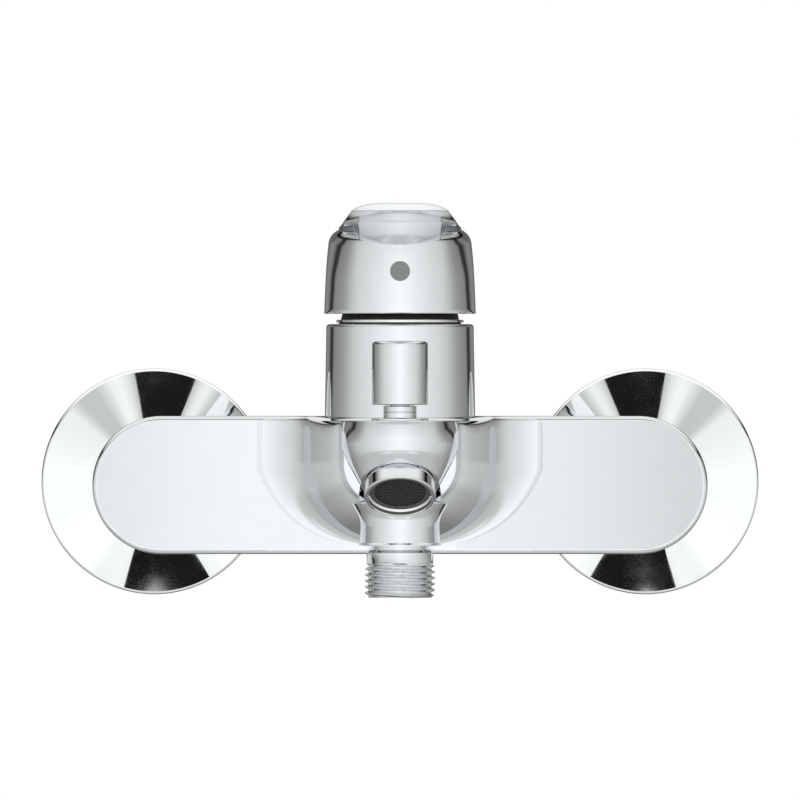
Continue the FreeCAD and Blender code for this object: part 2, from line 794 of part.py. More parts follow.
# The spout ends in a bowl: a slightly conical drum above, drawn in below to the tilted aerator seat.
bowl = sketch_on(mixer_body, "bowl_rim", "XY_Plane", lift=spout_top_z)
round_outline(bowl, s.bowl_top_radius, 0, -bowl_out)
bowl_crease = sketch_on(mixer_body, "bowl_crease", "XY_Plane", lift=bowl_crease_z)
round_outline(bowl_crease, bowl_radius, 0, -bowl_out)
drum = mixer_body.newObject("PartDesign::AdditiveLoft", "bowl_drum")
drum.Profile = bowl
drum.Sections = [bowl_crease]
nose_start = sketch_on(mixer_body, "nose_start", "XY_Plane", lift=bowl_crease_z)
round_outline(nose_start, bowl_radius, 0, -bowl_out)
nose_end = sketch_on(
    mixer_body, "nose_end", "XZ_Plane", lift=aerator_out, slide=aerator_z, tilt=aerator_lean
)
round_outline(nose_end, s.aerator_radius + s.aerator_seat_edge)
nose = mixer_body.newObject("PartDesign::AdditiveLoft", "bowl_nose")
nose.Profile = nose_start
nose.Sections = [nose_end]


def turned_about(body, name, corners, out, cut=False):
    """Turns (radius, height) corners about the vertical line at this distance from the wall."""
    sketch = sketch_on(body, f"{name}_outline", "XZ_Plane", lift=out)
    outline(sketch, corners)
    feature = body.newObject("PartDesign::Groove" if cut else "PartDesign::Revolution", name)
    feature.Profile = sketch
    feature.ReferenceAxis = (sketch, ["V_Axis"])
    feature.Angle = FULL_TURN
    return feature


turned_about(
    mixer_body,
    "collar",
    [
        (0, collar_bottom_z),
        (collar_radius + s.collar_lip, collar_bottom_z),
        (collar_radius + s.collar_lip, collar_bottom_z + s.collar_lip),
        (collar_radius, collar_bottom_z + 3 * s.collar_lip),
        (collar_radius, collar_flare_z - s.collar_flare_drop),
        (collar_radius + s.collar_flare, collar_flare_z),
        (collar_radius, collar_flare_z + s.collar_flare_drop),
        (collar_radius, bowl_crease_z),
        (0, bowl_crease_z),
    ],
    outlet_out,
)
bevel_low_z = dome_top_z - s.dome_bevel_height
turned_about(
    mixer_body,
    "dome",
    [
        (0, s.dome_foot_z),
        (s.dome_radius_low, s.dome_foot_z),
        (dome_radius_high, bevel_low_z, s.dome_bevel_round),
        (dome_radius_high - s.dome_bevel_width, dome_top_z, s.dome_bevel_round),
        (0, dome_top_z),
    ],
    dome_out,
)

# Waterways and bores
nut_bore_z = dome_top_z - s.nut_bore_depth
turned_about(
    mixer_body,
    "cartridge_cavity",
    [
        (0, s.cavity_floor_z),
        (s.cavity_radius, s.cavity_floor_z),
        (s.cavity_radius, nut_bore_z),
        (nut_bore_radius, nut_bore_z),
        (nut_bore_radius, dome_top_z),
        (0, dome_top_z),
    ],
    dome_out,
    cut=True,
)
for side, direction in (("hot", "left"), ("cold", "right")):
    sign = -1 if side == "hot" else 1
    port_x, port_y = ports[side]
    drilled(
        mixer_body,
        f"{side}_port",
        s.port_radius,
        s.cavity_floor_z - bar_mid_z,
        (port_x, port_y - dome_out, bar_mid_z),
    )
    drilled(
        mixer_body,
        f"{side}_channel",
        s.channel_radius,
        inlet_x + s.port_radius - s.channel_wall,
        (sign * s.channel_wall, -channel_out, bar_mid_z),
        direction,
    )
    drilled(
        mixer_body,
        f"{side}_inlet",
        s.connector_bore_radius,
        channel_out - bar_back_out,
        (sign * inlet_x, -bar_back_out, 0),
        "front",
    )
    drilled(
        mixer_body,
        f"{side}_inlet_thread",
        nipple_port_radius,
        s.nipple_thread_length + s.thread_clearance,
        (sign * inlet_x, -bar_back_out, 0),
        "front",
    )
outlet_x, outlet_y = ports["outlet"]
drilled(
    mixer_body,
    "mixed_port",
    s.port_radius,
    s.cavity_floor_z - mixed_way_z,
    (outlet_x, outlet_y - dome_out, mixed_way_z),
)
mixed_start_out = dome_out + s.port_circle_radius - s.port_radius
drilled(
    mixer_body,
    "mixed_way",
    s.mixed_way_radius,
    outlet_out - mixed_start_out,
    (0, -mixed_start_out, mixed_way_z),
    "front",
)
turned_about(
    mixer_body,
    "diverter_bore",
    [
        (0, collar_bottom_z),
        (s.outlet_bore_radius, collar_bottom_z),
        (s.outlet_bore_radius, outlet_bore_top_z),
        (s.chamber_radius, outlet_bore_top_z),
        (s.chamber_radius, upper_seat_z),
        (s.seat_opening_radius, upper_seat_z),
        (s.seat_opening_radius, upper_seat_z + s.seat_thickness),
        (s.bush_thread_radius, upper_seat_z + s.seat_thickness),
        (s.bush_thread_radius, spout_top_z),
        (0, spout_top_z),
    ],
    outlet_out,
    cut=True,
)
seal_depth = s.aerator_thread_length + s.aerator_seal_thickness
aerator_along_y = -sine(s.aerator_tilt)
aerator_along_z = -cosine(s.aerator_tilt)


def on_aerator_axis(along):
    """A point on the tilted aerator axis, this far outside its seat."""
    return (0, -aerator_out + aerator_along_y * along, aerator_z + aerator_along_z * along)


drilled(
    mixer_body,
    "aerator_thread",
    aerator_thread_radius + s.thread_clearance,
    seal_depth,
    on_aerator_axis(-seal_depth),
    "tilted",
    aerator_turn,
)
drilled(
    mixer_body,
    "aerator_way",
    s.aerator_way_radius,
    s.aerator_way_depth - seal_depth,
    on_aerator_axis(-s.aerator_way_depth),
    "tilted",
    aerator_turn,
)
drilled(
    mixer_body,
    "aerator_room",
    s.aerator_radius + s.aerator_groove,
    2 * s.aerator_length,
    on_aerator_axis(0),
    "tilted",
    aerator_turn,
)
bush_floor_z = upper_seat_z + s.seat_thickness
drilled(
    mixer_body,
    "spout_way",
    (bush_bottom_z - bush_floor_z) / 2 - s.spout_way_clearance,
    bowl_out - outlet_out,
    (0, -outlet_out, (bush_bottom_z + bush_floor_z) / 2),
    "front",
)

# Inlets: a connector screwed into the wall, a flange on it, and a union with nut, washer and nipple
for side, sign in (("hot", -1), ("cold", 1)):
    place = {"across": sign * inlet_x, "turn": 90}
    connector = piece(f"wall_connector_{side}", **place)
    turned(
        connector,
        "connector",
        [
            (s.connector_bore_radius, -s.wall_thread_length),
            (s.wall_thread_radius - s.thread_bevel, -s.wall_thread_length),
            (s.wall_thread_radius, s.thread_bevel - s.wall_thread_length),
            (s.wall_thread_radius, 0),
            (s.connector_collar_radius, 0),
            (s.connector_collar_radius, s.connector_collar_length),
            (s.union_thread_radius, s.connector_collar_length),
            (s.union_thread_radius, s.connector_end_out - s.thread_bevel),
            (s.union_thread_radius - s.thread_bevel, s.connector_end_out),
            (s.connector_bore_radius, s.connector_end_out),
        ],
    )
    flange = piece(f"wall_flange_{side}", **place)
    turned(
        flange,
        "flange",
        [
            (s.flange_radius - s.flange_sheet, 0),
            (s.flange_radius, 0),
            (s.flange_radius, s.flange_rim, s.flange_rim_round),
            (s.flange_neck_radius, s.flange_cone_out, s.flange_cone_round),
            (s.flange_neck_radius, flange_neck_out),
            (union_bore_radius, flange_neck_out),
            (union_bore_radius, s.flange_cone_out - s.flange_sheet),
            (s.flange_neck_radius - s.flange_sheet, s.flange_cone_out - s.flange_sheet),
            (s.flange_radius - s.flange_sheet, s.flange_rim - s.flange_sheet),
        ],
    )
    nut = piece(f"union_nut_{side}", **place)
    hexagon_sketch = sketch_on(nut, "hexagon", "XY_Plane", lift=nut_start_out)
    outline(hexagon_sketch, hexagon(s.nut_flats))
    extruded(nut, "blank", hexagon_sketch, nut_front_out - nut_start_out)
    corner_radius = s.nut_flats / 2 / math.cos(math.radians(HALF_CORNER_ANGLE))
    bevel_end = nut_front_out - s.nut_corner_bevel
    turned(
        nut,
        "front_bevel",
        [
            (s.nut_flats / 2 - s.nut_bevel_inset, nut_front_out),
            (corner_radius + CUT_MARGIN, bevel_end),
            (corner_radius + CUT_MARGIN, nut_front_out),
        ],
        cut=True,
    )
    drilled(
        nut,
        "thread",
        union_bore_radius,
        collar_front_out + s.nut_play - nut_start_out,
        (0, 0, nut_start_out),
    )
    drilled(
        nut,
        "lip_hole",
        s.nipple_tube_radius + s.nut_play,
        nut_front_out - nut_start_out,
        (0, 0, nut_start_out),
    )
    washer = piece(f"union_washer_{side}", **place)
    washer_outer = s.nipple_collar_radius - s.nut_play
    tube(
        washer,
        "washer",
        washer_outer - s.washer_width,
        washer_outer,
        s.connector_end_out,
        washer_front_out,
    )
    nipple = piece(f"inlet_nipple_{side}", **place)
    thread_end_out = bar_back_out + s.nipple_thread_length
    turned(
        nipple,
        "nipple",
        [
            (s.connector_bore_radius, washer_front_out),
            (s.nipple_collar_radius, washer_front_out),
            (s.nipple_collar_radius, collar_front_out),
            (s.nipple_tube_radius, collar_front_out),
            (s.nipple_tube_radius, bar_back_out),
            (s.nipple_thread_radius, bar_back_out),
            (s.nipple_thread_radius, thread_end_out),
            (s.connector_bore_radius, thread_end_out),
        ],
    )

# Cartridge: a plastic base with three seals, two ceramic discs, a turret in a housing
on_dome = {"out": dome_out}
cartridge_base = piece("cartridge_base", **on_dome)
turned(
    cartridge_base,
    "base",
    [(0, base_bottom_z), (cartridge_radius, base_bottom_z), (cartridge_radius, base_top_z),
     (0, base_top_z)],
)
base_seals = piece("base_seals", **on_dome)
seals_sketch = sketch_on(base_seals, "seal_rings", "XY_Plane", lift=s.cavity_floor_z)
fixed_disc = piece("fixed_disc", **on_dome)
turned(
    fixed_disc,
    "disc",
    [(0, base_top_z), (housing_inner_radius - s.fixed_disc_clearance, base_top_z),
     (housing_inner_radius - s.fixed_disc_clearance, fixed_disc_top_z), (0, fixed_disc_top_z)],
)
for name, (port_x, port_y) in ports.items():
    drilled(
        cartridge_base,
        f"{name}_way",
        s.port_radius,
        base_top_z - base_bottom_z,
        (port_x, port_y, base_bottom_z),
    )
    drilled(
        cartridge_base,
        f"{name}_seal_groove",
        s.base_seal_radius,
        s.base_seal_height - s.base_lift,
        (port_x, port_y, base_bottom_z),
    )
    drilled(
        fixed_disc,
        f"{name}_way",
        s.port_radius,
        s.disc_thickness,
        (port_x, port_y, base_top_z),
    )
    round_outline(seals_sketch, s.base_seal_radius, port_x, port_y)
    round_outline(seals_sketch, s.port_radius, port_x, port_y)
base_seals.AllowCompound = True
extruded(base_seals, "seals", seals_sketch, s.base_seal_height)

moving_disc = piece("moving_disc", out=dome_out - s.moving_disc_back)
turned(
    moving_disc,
    "disc",
    [(0, fixed_disc_top_z), (s.moving_disc_radius, fixed_disc_top_z),
     (s.moving_disc_radius, carrier_bottom_z), (0, carrier_bottom_z)],
)
drilled(
    moving_disc,
    "mixing_pocket",
    s.mixing_pocket_radius,
    s.mixing_pocket_depth,
    (0, 0, fixed_disc_top_z),
)
disc_carrier = piece("disc_carrier", out=dome_out - s.moving_disc_back)
turned(
    disc_carrier,
    "carrier",
    [(0, carrier_bottom_z), (s.moving_disc_radius, carrier_bottom_z),
     (s.moving_disc_radius, carrier_top_z), (0, carrier_top_z)],
)
carrier_slot = sketch_on(disc_carrier, "spindle_slot", "XY_Plane", lift=carrier_top_z)
slot_half_width = s.spindle_rod_radius + s.carrier_slot_clearance
outline(
    carrier_slot,
    [
        (-slot_half_width, -s.moving_disc_back - s.carrier_slot_half_length),
        (slot_half_width, -s.moving_disc_back - s.carrier_slot_half_length),
        (slot_half_width, -s.moving_disc_back + s.carrier_slot_half_length),
        (-slot_half_width, -s.moving_disc_back + s.carrier_slot_half_length),
    ],
)
extruded(
    disc_carrier, "slot", carrier_slot, s.carrier_height - s.carrier_floor, cut=True
)

housing = piece("cartridge_housing", **on_dome)
turned(
    housing,
    "housing",
    [
        (housing_inner_radius, base_top_z),
        (cartridge_radius, base_top_z),
        (cartridge_radius, housing_top_z),
        (s.housing_lip_radius, housing_top_z),
        (s.housing_lip_radius, housing_lip_z),
        (housing_inner_radius, housing_lip_z),
    ],
)
turret = piece("turret", **on_dome)
skirt_bottom_z = fixed_disc_top_z + s.turret_gap
turret_skirt_inner = s.moving_disc_radius + s.moving_disc_back + s.turret_skirt_clearance
turned(
    turret,
    "turret",
    [
        (0, turret_ceiling_z),
        (turret_skirt_inner, turret_ceiling_z),
        (turret_skirt_inner, skirt_bottom_z),
        (turret_radius, skirt_bottom_z),
        (turret_radius, turret_shoulder_z),
        (turret_neck_radius, turret_shoulder_z),
        (turret_neck_radius, turret_top_z),
        (0, turret_top_z),
    ],
)
turret_slot = sketch_on(turret, "spindle_slot", "XY_Plane", lift=turret_top_z)
outline(
    turret_slot,
    rectangle(spindle_half + s.slot_side_clearance, -s.turret_slot_front, s.turret_slot_back),
)
extruded(turret, "slot", turret_slot, turret_top_z - turret_ceiling_z, cut=True)
drilled(
    turret,
    "pin_hole",
    s.pin_radius,
    2 * pin_half_length,
    (-pin_half_length, 0, pivot_z),
    "right",
)
pivot_pin = piece("pivot_pin", out=dome_out, up=pivot_z)
pin_sketch = sketch_on(pivot_pin, "pin_outline", "YZ_Plane")
round_outline(pin_sketch, s.pin_radius)
extruded(pivot_pin, "pin", pin_sketch, 2 * pin_half_length, both_ways=True)

ring_nut = piece("cartridge_nut", **on_dome)
tube(
    ring_nut,
    "nut",
    s.housing_lip_radius + s.ring_nut_step,
    nut_bore_radius - s.outlet_fit_clearance,
    housing_top_z,
    dome_top_z,
)
for index, angle in enumerate((0, 90)):
    slot_sketch = sketch_on(ring_nut, f"key_slot_{index}", "XY_Plane", lift=dome_top_z)
    long_half = nut_bore_radius
    short_half = s.ring_nut_slot / 2
    if angle == 0:
        outline(slot_sketch, rectangle(long_half, -short_half, short_half))
    else:
        outline(slot_sketch, rectangle(short_half, -long_half, long_half))
    extruded(ring_nut, f"key_{index}", slot_sketch, s.ring_nut_slot / 2, cut=True)

# Trim over the cartridge: a bright ring on the dome and a dark hood, a ball shell about the pivot
cap_ring = piece("cap_ring", **on_dome)
cap_ring_inner = s.hood_radius + s.cap_ring_clearance
tube(
    cap_ring,
    "ring",
    cap_ring_inner,
    cap_ring_inner + s.cap_ring_width,
    dome_top_z,
    cap_ring_top_z,
)
hood = piece("cartridge_hood", out=dome_out, up=pivot_z)
hood_foot = dome_top_z - pivot_z
hood_inner = s.hood_radius - s.hood_wall
hood_sketch = sketch_on(hood, "hood_outline", "XZ_Plane")
outer_foot = FreeCAD.Vector(
    math.sqrt(SIZES["hood_radius"] ** 2 - hood_foot.value**2), hood_foot.value, 0
)
outer_top = FreeCAD.Vector(
    SIZES["hood_opening_radius"],
    math.sqrt(SIZES["hood_radius"] ** 2 - SIZES["hood_opening_radius"] ** 2),
    0,
)
shrink = hood_inner.value / SIZES["hood_radius"]


def ball_arc(start, end):
    centre = Part.Circle(FreeCAD.Vector(0, 0, 0), FreeCAD.Vector(0, 0, 1), start.Length)
    return Part.ArcOfCircle(centre, centre.parameter(start), centre.parameter(end))


outer_arc = hood_sketch.addGeometry(ball_arc(outer_foot, outer_top), False)
inner_foot = FreeCAD.Vector(
    math.sqrt(hood_inner.value**2 - hood_foot.value**2), hood_foot.value, 0
)
inner_top = outer_top * shrink
inner_arc = hood_sketch.addGeometry(ball_arc(inner_foot, inner_top), False)
top_line = hood_sketch.addGeometry(Part.LineSegment(outer_top, inner_top), False)
foot_line = hood_sketch.addGeometry(Part.LineSegment(inner_foot, outer_foot), False)
for first, first_end, second, second_end in (
    (outer_arc, 2, top_line, 1),
    (top_line, 2, inner_arc, 2),
    (inner_arc, 1, foot_line, 1),
    (foot_line, 2, outer_arc, 1),
    (outer_arc, 3, -1, 1),
    (inner_arc, 3, -1, 1),
):
    hood_sketch.addConstraint(
        Sketcher.Constraint("Coincident", first, first_end, second, second_end)
    )
hood_sketch.addConstraint(Sketcher.Constraint("PointOnObject", -1, 1, top_line))
hood_sketch.addConstraint(Sketcher.Constraint("Horizontal", foot_line))
fix_radius(hood_sketch, outer_arc, s.hood_radius)
fix_radius(hood_sketch, inner_arc, hood_inner)
for kind, geometry, point, size in (
    ("DistanceY", foot_line, 1, hood_foot),
    ("DistanceX", top_line, 1, s.hood_opening_radius),
):
    index = hood_sketch.addConstraint(
        Sketcher.Constraint(kind, -1, 1, geometry, point, size.value)
    )
    hood_sketch.renameConstraint(index, f"{kind}_{geometry}")
    bind(hood_sketch, f"Constraints.{kind}_{geometry}", size)
hood_shell = hood.newObject("PartDesign::Revolution", "shell")
hood_shell.Profile = hood_sketch
hood_shell.ReferenceAxis = (hood_sketch, ["V_Axis"])
hood_shell.Angle = FULL_TURN

# Spindle: a square bar on the pivot pin, with a round rod down into the disc carrier
spindle = piece("spindle", **on_dome)
spindle_sketch = sketch_on(spindle, "square", "XY_Plane", lift=spindle_foot_z)
outline(spindle_sketch, rectangle(spindle_half, -spindle_half, spindle_half))
extruded(spindle, "shank", spindle_sketch, spindle_top_z - spindle_foot_z)
rod_bottom_z = carrier_bottom_z + s.carrier_floor + s.rod_floor_gap
turned(
    spindle,
    "rod",
    [
        (0, rod_bottom_z),
        (s.spindle_rod_radius, rod_bottom_z),
        (s.spindle_rod_radius, spindle_foot_z + s.spindle_rod_root),
        (0, spindle_foot_z + s.spindle_rod_root),
    ],
)
drilled(
    spindle,
    "pin_hole",
    s.pin_radius + s.pin_clearance,
    2 * spindle_half,
    (-spindle_half, 0, pivot_z),
    "right",
)

# Lever: a cup over the cartridge whose roof runs forward as a paddle
lever = piece("lever", **on_dome)


def forward(out):
    """A distance from the wall as a Y coordinate about the lever's own axis."""
    return dome_out - out


paddle_root_top_z = lever_crown_z + s.paddle_root_crown
paddle_mid_top_z = (lever_crown_z + paddle_tip_top_z) / 2
paddle_stations = [
    # distance out, half width, keel of the underside, lower edge, upper edge, crown of the top
    (paddle_root_out, s.paddle_root_half_width, paddle_belly_z, paddle_root_low_z, lever_corner_z,
     paddle_root_top_z),
    (paddle_mid_out, s.paddle_mid_half_width, paddle_mid_z, paddle_mid_low_z, paddle_mid_edge_z,
     paddle_mid_top_z),
    (paddle_tip_out, s.paddle_tip_half_width, paddle_tip_z, paddle_tip_low_z, paddle_tip_edge_z,
     paddle_tip_top_z),
]
paddle_sections = [
    (dome_out, s.paddle_root_half_width, 2 * paddle_belly_z - paddle_mid_z, paddle_root_low_z,
     lever_corner_z, lever_crown_z),
    paddle_stations[0],
]
for near, far in zip(paddle_stations, paddle_stations[1:]):
    paddle_sections += [tuple((a + b) / 2 for a, b in zip(near, far)), far]


def bowed(half_width, level, rise):
    """The peak of two lines and the rounding that bows them to this rise across a section."""
    peak = rise / (1 - s.paddle_bow_share / 2)
    return 0, level + peak, s.paddle_bow_share * half_width * half_width / peak


paddle_sketches = []
for index, (distance, half_width, keel_z, low_z, edge_z, top_z) in enumerate(paddle_sections):
    section = sketch_on(lever, f"paddle_section_{index}", "XZ_Plane", lift=distance - dome_out)
    right_half = [
        (half_width, low_z, s.paddle_low_round),
        (half_width, edge_z, s.paddle_edge_round),
    ]
    left_half = [(-c[0], *c[1:]) for c in reversed(right_half)]
    across, peak_z, keel_round = bowed(half_width, low_z, keel_z - low_z)
    keel = [(across, peak_z, -keel_round)]
    crown = [bowed(half_width, edge_z, top_z - edge_z)]
    outline(section, keel + right_half + crown + left_half)
    paddle_sketches.append(section)
paddle = lever.newObject("PartDesign::AdditiveLoft", "paddle")
paddle.Profile = paddle_sketches[0]
paddle.Sections = paddle_sketches[1:]
paddle.Ruled = True
tip_front = forward(paddle_tip_out)
tip_start_out = paddle_tip_out - s.paddle_tip_bow - 2 * s.paddle_tip_round
tip_start = forward(tip_start_out)
tip_corner = forward(paddle_tip_out - s.paddle_tip_bow)
side_slope = (s.paddle_mid_half_width - s.paddle_tip_half_width) / (
    paddle_tip_out - paddle_mid_out
)
side_start = s.paddle_tip_half_width + side_slope * (paddle_tip_out - tip_start_out) + s.paddle_tip_margin
outside = 2 * s.paddle_tip_half_width
tip_cut = sketch_on(lever, "tip_cut", "XY_Plane", lift=lever_crown_z)
outline(
    tip_cut,
    [
        (-side_start, tip_start),
        (-s.paddle_tip_half_width, tip_corner, s.paddle_tip_round),
        (0, tip_front, 4 * s.paddle_tip_half_width),
        (s.paddle_tip_half_width, tip_corner, s.paddle_tip_round),
        (side_start, tip_start),
        (outside, tip_start),
        (outside, forward(paddle_tip_out + s.paddle_tip_bow)),
        (-outside, forward(paddle_tip_out + s.paddle_tip_bow)),
        (-outside, tip_start),
    ],
)
extruded(lever, "tip_shape", tip_cut, 2 * lever_rim_radius, both_ways=True, cut=True)
turned(
    lever,
    "cup",
    [
        (0, lever_rim_z),
        (lever_rim_radius, lever_rim_z, s.lever_rim_round),
        (lever_shoulder_radius, lever_shoulder_z),
        (lever_corner_radius, lever_corner_z, s.lever_corner_round),
        (0, lever_crown_z),
    ],
)
cavity_rim = lever_rim_radius - s.lever_wall
cavity_top = lever_shoulder_radius - s.lever_wall
turned(
    lever,
    "hollow",
    [
        (0, lever_rim_z),
        (cavity_rim, lever_rim_z),
        (cavity_top, lever_ceiling_z, s.lever_ceiling_round),
        (0, lever_ceiling_z),
    ],
    cut=True,
)
relief = sketch_on(lever, "relief_outline", "YZ_Plane")
outline(
    relief,
    [
        (0, lever_rim_z - CUT_MARGIN),
        (lever_rim_radius + CUT_MARGIN, lever_rim_z - CUT_MARGIN),
        (lever_rim_radius + CUT_MARGIN, lever_rim_z + s.lever_back_relief),
        (0, lever_rim_z),
    ],
)
extruded(lever, "back_relief", relief, 3 * lever_rim_radius, both_ways=True, cut=True)
turned(
    lever,
    "boss",
    [
        (0, boss_bottom_z),
        (s.boss_radius, boss_bottom_z),
        (s.boss_radius, lever_ceiling_z + s.boss_root),
        (0, lever_ceiling_z + s.boss_root),
    ],
)
screw_boss_bottom_z = boss_bottom_z + s.screw_boss_step
screw_boss = sketch_on(lever, "screw_boss_outline", "XY_Plane", lift=screw_boss_bottom_z)
outline(screw_boss, rectangle(s.screw_boss_half_width, -s.screw_boss_reach, -spindle_half))
extruded(lever, "screw_boss", screw_boss, lever_ceiling_z + s.boss_root - screw_boss_bottom_z)
socket_half = spindle_half + s.socket_clearance
socket = sketch_on(lever, "socket_outline", "XY_Plane", lift=boss_bottom_z)
outline(socket, rectangle(socket_half, -socket_half, socket_half))
extruded(
    lever, "socket", socket, spindle_top_z + s.socket_top_gap - boss_bottom_z, cut=True, reverse=True
)
drilled(
    lever,
    "screw_hole",
    s.screw_radius,
    s.screw_boss_reach,
    (0, 0, plug_z),
    "front",
)
plug_share = (plug_z - lever_rim_z) / (lever_shoulder_z - lever_rim_z)
plug_face = lever_rim_radius - (lever_rim_radius - lever_shoulder_radius) * plug_share
drilled(
    lever,
    "plug_hole",
    s.plug_radius,
    s.lever_wall + 2 * CUT_MARGIN,
    (0, s.lever_wall + CUT_MARGIN - plug_face, plug_z),
    "front",
)
lever_screw = piece("lever_screw", out=dome_out, up=plug_z, turn=90)
screw_sketch = sketch_on(lever_screw, "screw_outline", "XY_Plane", lift=spindle_half)
round_outline(screw_sketch, s.screw_radius)
extruded(lever_screw, "screw", screw_sketch, s.screw_length)
key_sketch = sketch_on(
    lever_screw, "key_outline", "XY_Plane", lift=spindle_half + s.screw_length
)
outline(key_sketch, hexagon(s.screw_key_flats))
extruded(lever_screw, "key_socket", key_sketch, s.screw_key_depth, cut=True)
plug = piece("indicator_plug", out=dome_out, up=plug_z, turn=90)
turned(
    plug,
    "plug",
    [
        (0, plug_face - s.plug_depth),
        (s.plug_radius - s.plug_clearance, plug_face - s.plug_depth),
        (s.plug_radius - s.plug_clearance, plug_face + s.plug_proud, s.plug_round),
        (0, plug_face + s.plug_proud),
    ],
)

# Diverter: a knob and stem that lift a double-faced valve from the shower seat to the spout seat
on_outlet = {"out": outlet_out}
bush = piece("diverter_bush", **on_outlet)
stem_bore = s.stem_radius + s.stem_clearance
turned(
    bush,
    "bush",
    [
        (stem_bore, bush_bottom_z),
        (s.bush_thread_radius - s.thread_clearance, bush_bottom_z),
        (s.bush_thread_radius - s.thread_clearance, spout_top_z),
        (s.bush_flange_radius, spout_top_z),
        (s.bush_flange_radius, spout_top_z + s.bush_flange),
        (s.bush_neck_radius, spout_top_z + s.bush_flange),
        (s.bush_neck_radius, bush_neck_top_z, s.bush_neck_round),
        (stem_bore, bush_neck_top_z),
    ],
)
stem_seal_z = spout_top_z - s.bush_depth / 2
turned(
    bush,
    "seal_groove",
    [
        (0, stem_seal_z - s.o_ring_wire),
        (s.stem_radius + 2 * s.o_ring_wire, stem_seal_z - s.o_ring_wire),
        (s.stem_radius + 2 * s.o_ring_wire, stem_seal_z + s.o_ring_wire),
        (0, stem_seal_z + s.o_ring_wire),
    ],
    cut=True,
)


def o_ring(label, mean_radius, wire, **place):
    """A rubber ring about the vertical axis at this place."""
    ring = piece(label, **place)
    sketch = sketch_on(ring, "wire", "XZ_Plane")
    round_outline(sketch, wire, mean_radius, 0)
    feature = ring.newObject("PartDesign::Revolution", "ring")
    feature.Profile = sketch
    feature.ReferenceAxis = (sketch, ["V_Axis"])
    feature.Angle = FULL_TURN


seal_wire = s.o_ring_wire - s.stem_clearance / 2
o_ring(
    "stem_o_ring",
    s.stem_radius + s.stem_clearance + seal_wire,
    seal_wire,
    out=outlet_out,
    up=stem_seal_z,
)
stem = piece("diverter_stem", **on_outlet)
stem_top_z = knob_bottom_z + s.knob_socket_depth
turned(
    stem,
    "stem",
    [
        (0, lower_seat_z),
        (s.stem_end_radius, lower_seat_z),
        (s.stem_end_radius, disc_top_z),
        (s.stem_radius, disc_top_z),
        (s.stem_radius, stem_top_z),
        (0, stem_top_z),
    ],
)
knob = piece("diverter_knob", **on_outlet)
turned(
    knob,
    "knob",
    [
        (0, knob_bottom_z),
        (s.knob_radius, knob_bottom_z, s.knob_foot_round),
        (s.knob_radius, knob_top_z, s.knob_edge_round),
        (0, knob_top_z + s.knob_crown),
    ],
)
drilled(knob, "stem_socket", s.stem_radius, s.knob_socket_depth, (0, 0, knob_bottom_z))
disc = piece("diverter_disc", **on_outlet)
tube(disc, "disc", s.stem_end_radius, diverter_disc_radius, disc_bottom_z, disc_top_z)
seal_outer = diverter_disc_radius - s.diverter_seal_inset
lower_seal = piece("diverter_seal_lower", **on_outlet)
tube(lower_seal, "seal", s.stem_end_radius, seal_outer, lower_seat_z, disc_bottom_z)
upper_seal = piece("diverter_seal_upper", **on_outlet)
upper_seal_inner = s.diverter_spring_radius + s.spring_wire + s.diverter_spring_gap
tube(
    upper_seal, "seal", upper_seal_inner, seal_outer, disc_top_z, disc_top_z + s.diverter_seal
)
seat = piece("diverter_seat", **on_outlet)
tube(
    seat,
    "seat",
    s.seat_opening_radius,
    s.chamber_radius - s.outlet_fit_clearance,
    outlet_bore_top_z,
    lower_seat_z,
)
diverter_spring = piece("diverter_spring", **on_outlet)
coil(
    diverter_spring,
    "coils",
    s.diverter_spring_radius,
    s.spring_wire,
    disc_top_z,
    bush_bottom_z,
    s.diverter_spring_turns,
)

# Shower outlet: a nipple screwed up into the collar, holding a check valve
shower = piece("shower_nipple", **on_outlet)
nipple_fit_radius = s.outlet_bore_radius - s.outlet_fit_clearance
turned(
    shower,
    "nipple",
    [
        (s.shower_bore_radius, outlet_bore_top_z),
        (nipple_fit_radius, outlet_bore_top_z),
        (nipple_fit_radius, collar_bottom_z),
        (s.shower_groove_radius, collar_bottom_z),
        (s.shower_groove_radius, shower_groove_bottom_z),
        (s.shower_neck_radius, shower_neck_top_z),
        (s.shower_neck_radius, shower_thread_top_z),
        (s.shower_thread_radius, shower_thread_top_z - s.shower_thread_run_in),
        (s.shower_thread_radius, shower_bottom_z + s.shower_end_bevel),
        (s.shower_thread_radius - s.shower_end_bevel, shower_bottom_z),
        (s.shower_exit_radius, shower_bottom_z),
        (s.shower_exit_radius, valve_shoulder_z),
        (s.shower_bore_radius, valve_shoulder_z),
    ],
)
turned(
    shower,
    "o_ring_groove",
    [
        (nipple_fit_radius - 2 * s.o_ring_wire, o_ring_z - s.o_ring_wire),
        (nipple_fit_radius + CUT_MARGIN, o_ring_z - s.o_ring_wire),
        (nipple_fit_radius + CUT_MARGIN, o_ring_z + s.o_ring_wire),
        (nipple_fit_radius - 2 * s.o_ring_wire, o_ring_z + s.o_ring_wire),
    ],
    cut=True,
)
THREAD_MOUTH_SHARE = 0.46
THREAD_ROOT_SHARE = 0.08
THREAD_CUT_MARGIN = 0.3
thread_sketch = sketch_on(shower, "thread_outline", "XZ_Plane")
root_radius = s.shower_thread_radius - s.shower_thread_depth
half_mouth = s.shower_thread_pitch * THREAD_MOUTH_SHARE
thread_start_z = shower_bottom_z - s.shower_thread_pitch
root_flat = s.shower_thread_pitch * THREAD_ROOT_SHARE
outline(
    thread_sketch,
    [
        (s.shower_thread_radius + THREAD_CUT_MARGIN, thread_start_z - half_mouth),
        (s.shower_thread_radius + THREAD_CUT_MARGIN, thread_start_z + half_mouth),
        (root_radius, thread_start_z + root_flat),
        (root_radius, thread_start_z - root_flat),
    ],
)
thread = shower.newObject("PartDesign::SubtractiveHelix", "thread")
thread.Profile = thread_sketch
